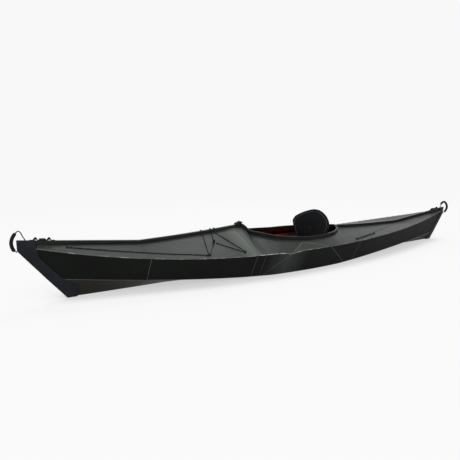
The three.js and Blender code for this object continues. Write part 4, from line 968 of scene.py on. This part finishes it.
def add_moving_strap(node, moving, width, thickness):
    """A strap from a moving piece to the side of the hull, laid along the CAD strap."""
    found = strap_line(node, width)
    middle = box_centre(moving)
    if (found[0][0] - middle).length > (found[-1][0] - middle).length:
        found.reverse()
    centres = smooth_line([p for p, _ in found], spacing=5 * MM)
    pieces = make_strap(f"{node}_webbing", centres, spread_acrosses(found, centres), width, thickness)
    for piece in pieces:
        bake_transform(piece)
    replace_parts(pieces[0], node)


def ridge_line(node, digits=5):
    """The middle line of a strap that lies along the ridge."""
    bm = welded(node)
    places = {}
    for vertex in bm.verts:
        places.setdefault(round(vertex.co.x, digits), []).append(vertex.co.z)
    bm.free()
    return [Vector((x, 0, (min(zs) + max(zs)) / 2)) for x, zs in sorted(places.items())]


def add_ridge_strap(node, width, thickness):
    """The strap that lies along the ridge and rises in open loops, which lean over to port."""
    line = ridge_line(node)
    first, last = line[0], line[-1]
    foot = [first.lerp(last, (p.x - first.x) / (last.x - first.x)).z for p in line]
    lifts = [max(0.0, p.z - low) for p, low in zip(line, foot)]
    leans = [LOOP_LEAN * lift / max(lifts) for lift in lifts]
    line = [p + Vector((0, math.sin(a) * (1 + LOOP_GROWTH), math.cos(a) - 1 + LOOP_GROWTH)) * lift
            for p, a, lift in zip(line, leans, lifts)]
    acrosses = [Vector((0, math.cos(a), -math.sin(a))) for a in leans]
    pieces = make_strap(f"{node}_webbing", line, acrosses, width, thickness)
    for piece in pieces:
        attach(piece, "hull")
    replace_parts(pieces[0], node)


def add_straps():
    for side in ("port", "starboard"):
        add_moving_strap(f"backrest_strap_{side}", "backrest", **SIDE_STRAP)
        add_moving_strap(f"foot_brace_strap_{side}", "foot_brace", **SIDE_STRAP)
    for end in ("bow", "stern"):
        add_ridge_strap(f"{end}_fairing_strap", **RIDGE_STRAP)


# Cushions

BACK_OUTLINE = ((0.0, 0.58), (0.11, 0.6), (0.2, 0.72), (0.32, 0.83), (0.48, 0.9), (0.58, 0.97), (0.66, 1.0),
                (0.76, 0.92), (0.85, 0.74), (0.92, 0.53), (0.97, 0.33), (1.0, 0.14))
BACK_HEIGHT, BACK_HALF, BACK_START = 308 * MM, 202 * MM, 62 * MM
BACK_LEAN, BACK_LEAD = math.radians(10), 45 * MM
HINGE = Vector((-212 * MM, 0, 70 * MM))
BUTTON = millimetres(((0, 11), (1.6, 10.6), (2.6, 8.8), (2.8, 6), (2.0, 3.6), (1.6, 0.4)))


def back_point(height, y, ahead):
    """A place on the backrest: height along it, distance across it and ahead of its back face."""
    forward = ahead + BACK_LEAD * (y / BACK_HALF) ** 2
    sine, cosine = math.sin(BACK_LEAN), math.cos(BACK_LEAN)
    return HINGE + Vector((forward * cosine - height * sine, y, height * cosine + forward * sine))


def back_outline(inset, steps=24, breadth=0.8):
    """Heights and half widths round the backrest's edge, drawn in by an inset."""
    shares, halves = zip(*BACK_OUTLINE)
    start = BACK_START / BACK_HEIGHT
    middle = (BACK_START + BACK_HEIGHT) / 2
    scale = 1 - inset / (BACK_HALF * breadth)
    rows = []
    for i in range(steps + 1):
        share = start + (1 - start) * math.sin(math.pi / 2 * i / steps)
        half = float(np.interp(share, shares, halves)) * BACK_HALF
        rows.append((middle + (share * BACK_HEIGHT - middle) * scale, half * scale))
    return rows + [(h, -half) for h, half in reversed(rows)]


def back_line(inset, ahead, spacing):
    return closed_line([back_point(h, y, ahead) for h, y in back_outline(inset)], spacing)


def shown(piece):
    """A piece as its modifiers leave it."""
    return piece.evaluated_get(bpy.context.evaluated_depsgraph_get())


def corner_array(piece):
    return np.array([v.co for v in piece.data.vertices])


def remeshed(name, node, voxel=5.5 * MM):
    """A closed, evenly divided copy of a CAD solid."""
    bm = welded(node)
    mesh = bpy.data.meshes.new(name)
    bm.to_mesh(mesh)
    bm.free()
    piece = new_object(name, mesh)
    remesh = piece.modifiers.new("voxels", "REMESH")
    remesh.mode = "VOXEL"
    remesh.voxel_size = voxel
    remesh.use_smooth_shade = True
    piece.data = bpy.data.meshes.new_from_object(shown(piece))
    piece.modifiers.clear()
    return piece


def filled_corners(piece, rest, cap, held, force=4, frames=20):
    """The corners after a cloth simulation has filled a piece, moved by no more than a cap."""
    group = piece.vertex_groups.new(name="held")
    for vertex in piece.data.vertices:
        if held(vertex):
            group.add([vertex.index], 1.0, "REPLACE")
    settings = piece.modifiers.new("filling", "CLOTH").settings
    settings.use_pressure = True
    settings.uniform_pressure_force = force
    settings.vertex_group_mass = "held"
    settings.effector_weights.gravity = 0
    for step in range(1, frames + 1):
        bpy.context.scene.frame_set(step)
    moved = corner_array(shown(piece)) - rest
    reach = np.linalg.norm(moved, axis=1, keepdims=True)
    piece.modifiers.clear()
    bpy.context.scene.frame_set(1)
    return rest + moved * np.minimum(1, cap / np.maximum(reach, TINY))


def swollen(name, node, look, cap, held):
    """A cushion: the CAD solid remeshed and filled, with some faces held flat."""
    piece = remeshed(name, node)
    corners = corner_array(piece)
    corners = filled_corners(piece, corners, cap, held)
    piece.data.vertices.foreach_set("co", corners.astype(np.float32).ravel())
    dress(piece.data, look)
    bpy.context.view_layer.update()
    return piece


def press(piece, lines, way, depth, width, facing=0.3):
    """Presses a sewn groove into a cushion along lines, against the way given."""
    tree = point_tree([p for line in lines for p in line])
    for vertex in piece.data.vertices:
        if vertex.normal.dot(way) > facing:
            distance = tree.find(vertex.co)[2]
            vertex.co -= way * (depth * math.exp(-(distance / width) ** 2))
    piece.data.update()


def dropped(piece, points, way, outside=90 * MM):
    """Points put on a cushion's face from outside it, with the way out of it."""
    tree = BVHTree.FromObject(piece, bpy.context.evaluated_depsgraph_get())
    found = []
    for point in points:
        hit, normal, _, _ = tree.ray_cast(point + way * outside, -way)
        if hit:
            found.append((hit, normal if normal.dot(way) > 0 else -normal))
    return found


def sew(pad, seams, way, groove, stitch):
    """Grooves and stitches along seams on a cushion, which is smoothed once in between."""
    press(pad, [[p for p, _ in dropped(pad, line, way)] for line in seams], way, **groove)
    finer = pad.modifiers.new("finer", "SUBSURF")
    finer.levels = finer.render_levels = 1
    bpy.context.view_layer.update()
    sewn = Parts()
    stitch_rows(sewn, [dropped(pad, line, way) for line in seams], **stitch)
    return sewn


def add_backrest_cushion(held_from=0.5, sink=1.5 * MM):
    way = Vector((math.cos(BACK_LEAN), 0, math.sin(BACK_LEAN)))
    pad = swollen("backrest_cushion", "backrest_pad", "back_cloth", cap=7 * MM,
                  held=lambda v: v.normal.dot(way) < -held_from)
    seam = back_line(inset=15 * MM, ahead=20 * MM, spacing=4 * MM)
    sewn = sew(pad, [seam], way, groove={"depth": 3.2 * MM, "width": 5 * MM},
               stitch={"length": 6 * MM, "gap": 1.6 * MM, "radius": 1.15 * MM})
    edge = back_line(inset=0.0, ahead=9.5 * MM, spacing=5 * MM)
    binding = Parts().tube(edge, radius=5.4 * MM, sides=14)
    dimple = Parts()
    (place, normal), = dropped(pad, [back_point(height=0.168, y=-0.012, ahead=20 * MM)], way)
    dimple.loft(lathe_rings(place - normal * sink, normal, BUTTON))
    made = ((pad, "pad_fabric"), (sewn.piece("backrest_cushion_stitches", "thread"), "pad_fabric"),
            (binding.piece("backrest_cushion_binding", "binding"), "pad_fabric"),
            (dimple.piece("backrest_cushion_button", "moulded"), "moulded_plastic"))
    for piece, slot in made:
        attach(piece, "backrest")
    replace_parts(pad, "backrest_pad")


def seat_outline(low, high, inset, z, steps=64, power=5):
    """A rounded rectangle round the seat cushion's box, drawn in by an inset."""
    middle, half = (low + high) / 2, (high - low) / 2
    points = []
    for i in range(steps):
        a = 2 * math.pi * i / steps
        c, s = math.cos(a), math.sin(a)
        square = (abs(c) ** power + abs(s) ** power) ** (-1 / power)
        points.append(Vector((middle.x + (half.x - inset) * square * c, (half.y - inset) * square * s, z)))
    return points


def seat_seams(low, high, inset=30 * MM, end=34 * MM, steps=30, places=(0.28, 0.5, 0.72)):
    """The seam round the seat cushion, closed, and the seams across it."""
    outline = seat_outline(low, high, inset, high.z)
    seams = [outline + outline[:1]]
    half = (high.y - low.y) / 2 - end
    for place in places:
        x = low.x + (high.x - low.x) * place
        seams.append([Vector((x, half * k / steps, high.z)) for k in range(-steps, steps + 1)])
    return seams


def add_seat_cushion(held_from=0.4, rise=4 * MM):
    low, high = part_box("seat_pad")
    pad = swollen("seat_cushion", "seat_pad", "seat_cloth", cap=6 * MM,
                  held=lambda v: v.normal.z < -held_from)
    sewn = sew(pad, seat_seams(low, high), UP, groove={"depth": 4 * MM, "width": 6 * MM},
               stitch={"length": 5 * MM, "gap": 2.4 * MM, "radius": 0.7 * MM})
    edge = seat_outline(low, high, inset=1.5 * MM, z=(low.z + high.z) / 2 + rise)
    piping = Parts().tube(closed_line(edge, spacing=6 * MM), radius=3.2 * MM, sides=10)
    for piece in (pad, sewn.piece("seat_cushion_stitches", "thread"),
                  piping.piece("seat_cushion_piping", "binding")):
        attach(piece, "hull")
    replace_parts(pad, "seat_pad")


# Stage, light and camera

BACKDROP = "f8f8f8"
YAW, PITCH, ROLL = -2.1258, -0.1777, 0.0016
SENSOR, FOCAL_PIXELS, PHOTO_PIXELS = 36, 446.1, 460


def floor_material():
    """A pale floor that fades into the backdrop away from the boat, with a light shadow: partly cast by the
    lamps, partly painted near the boat.
    """
    t = Look("floor", "f9f9f9", "fcfcfc")
    t.colour = t.mixed(t.noise(scale=0.8, detail=4.0), t.base, t.pale)
    t.emboss(t.noise(scale=220.0), depth=0.05, strength=0.3)
    t.set(rough=0.95, Specular_IOR_Level=0.0)
    # Ambient occlusion dims the backdrop glow close to the boat: a painted contact shadow.
    painted_shadow_ao = t.add("AmbientOcclusion", {"Distance": 0.14}, samples=8).outputs["AO"]
    strength = t.span(painted_shadow_ao, low=0.5, high=0.95, to_low=0.72)
    glow = t.add("Emission", {"Color": linear(BACKDROP), "Strength": strength}).outputs[0]
    lift = t.span(t.seen(), to_high=0.82)
    lifted = t.add("MixShader", {0: lift, 1: t.shader.outputs[0], 2: glow}).outputs[0]
    distance = t.add("VectorMath", {0: t.place(scale=(0.6, 1, 1))}, operation="LENGTH").outputs["Value"]
    clear = t.add("BsdfTransparent").outputs[0]
    fade = t.add("MixShader", {0: t.span(distance, low=2.2, high=4.2), 1: lifted, 2: clear}).outputs[0]
    t.give(t.tree.nodes["Material Output"].inputs["Surface"], fade)
    return t.material


def add_stage(reach=9.0):
    corners = [(x * reach, y * reach, 0) for x, y in ((-1, -1), (1, -1), (1, 1), (-1, 1))]
    mesh = bpy.data.meshes.new("studio_floor")
    mesh.from_pydata(corners, [], [range(len(corners))])
    mesh.materials.append(floor_material())
    floor = new_object("studio_floor", mesh)


def add_world():
    """A pale backdrop for the camera, a weaker even light for the rest."""
    world = bpy.data.worlds.new("studio")
    bpy.context.scene.world = world
    world.use_nodes = True
    t = Nodes(world.node_tree)
    background = t.tree.nodes["Background"].inputs
    t.give(background["Color"], linear(BACKDROP))
    t.give(background["Strength"], t.span(t.seen(), to_low=0.5))


def add_sun(name, place, power, angle):
    light = bpy.data.lights.new(name, "SUN")
    light.energy = power
    light.angle = math.radians(angle)
    lamp = new_object(name, light)
    lamp.location = place
    lamp.rotation_mode = "QUATERNION"
    lamp.rotation_quaternion = (-Vector(place)).to_track_quat("-Z", "Y")


def add_lights():
    """A very soft key from the camera's side, and one behind the boat for the decks' sheen."""
    add_sun("key", place=(1.72, 2.05, 2.97), power=2.1, angle=60)
    add_sun("sheen", place=(-1.47, -1.76, 3.28), power=0.4, angle=20)


def add_camera():
    """The photograph's viewing place."""
    forward = Vector((math.cos(PITCH) * math.cos(YAW), math.cos(PITCH) * math.sin(YAW), math.sin(PITCH)))
    data = bpy.data.cameras.new("photo_camera")
    data.sensor_width = SENSOR
    data.lens = SENSOR * FOCAL_PIXELS / PHOTO_PIXELS
    data.clip_start, data.clip_end = 0.05, 60
    camera = new_object("photo_camera", data)
    camera.location = (2.1275, 2.5683, 0.8354)
    camera.rotation_mode = "QUATERNION"
    turn = forward.to_track_quat("-Z", "Y")
    camera.rotation_quaternion = turn @ Matrix.Rotation(ROLL, 3, "Z").to_quaternion()
    bpy.context.scene.camera = camera
    bpy.context.scene.view_settings.view_transform = "Standard"


finish_nodes()
add_folds()
add_cords()
add_handles()
add_straps()
add_backrest_cushion()
add_seat_cushion()
add_stage()
add_world()
add_lights()
add_camera()
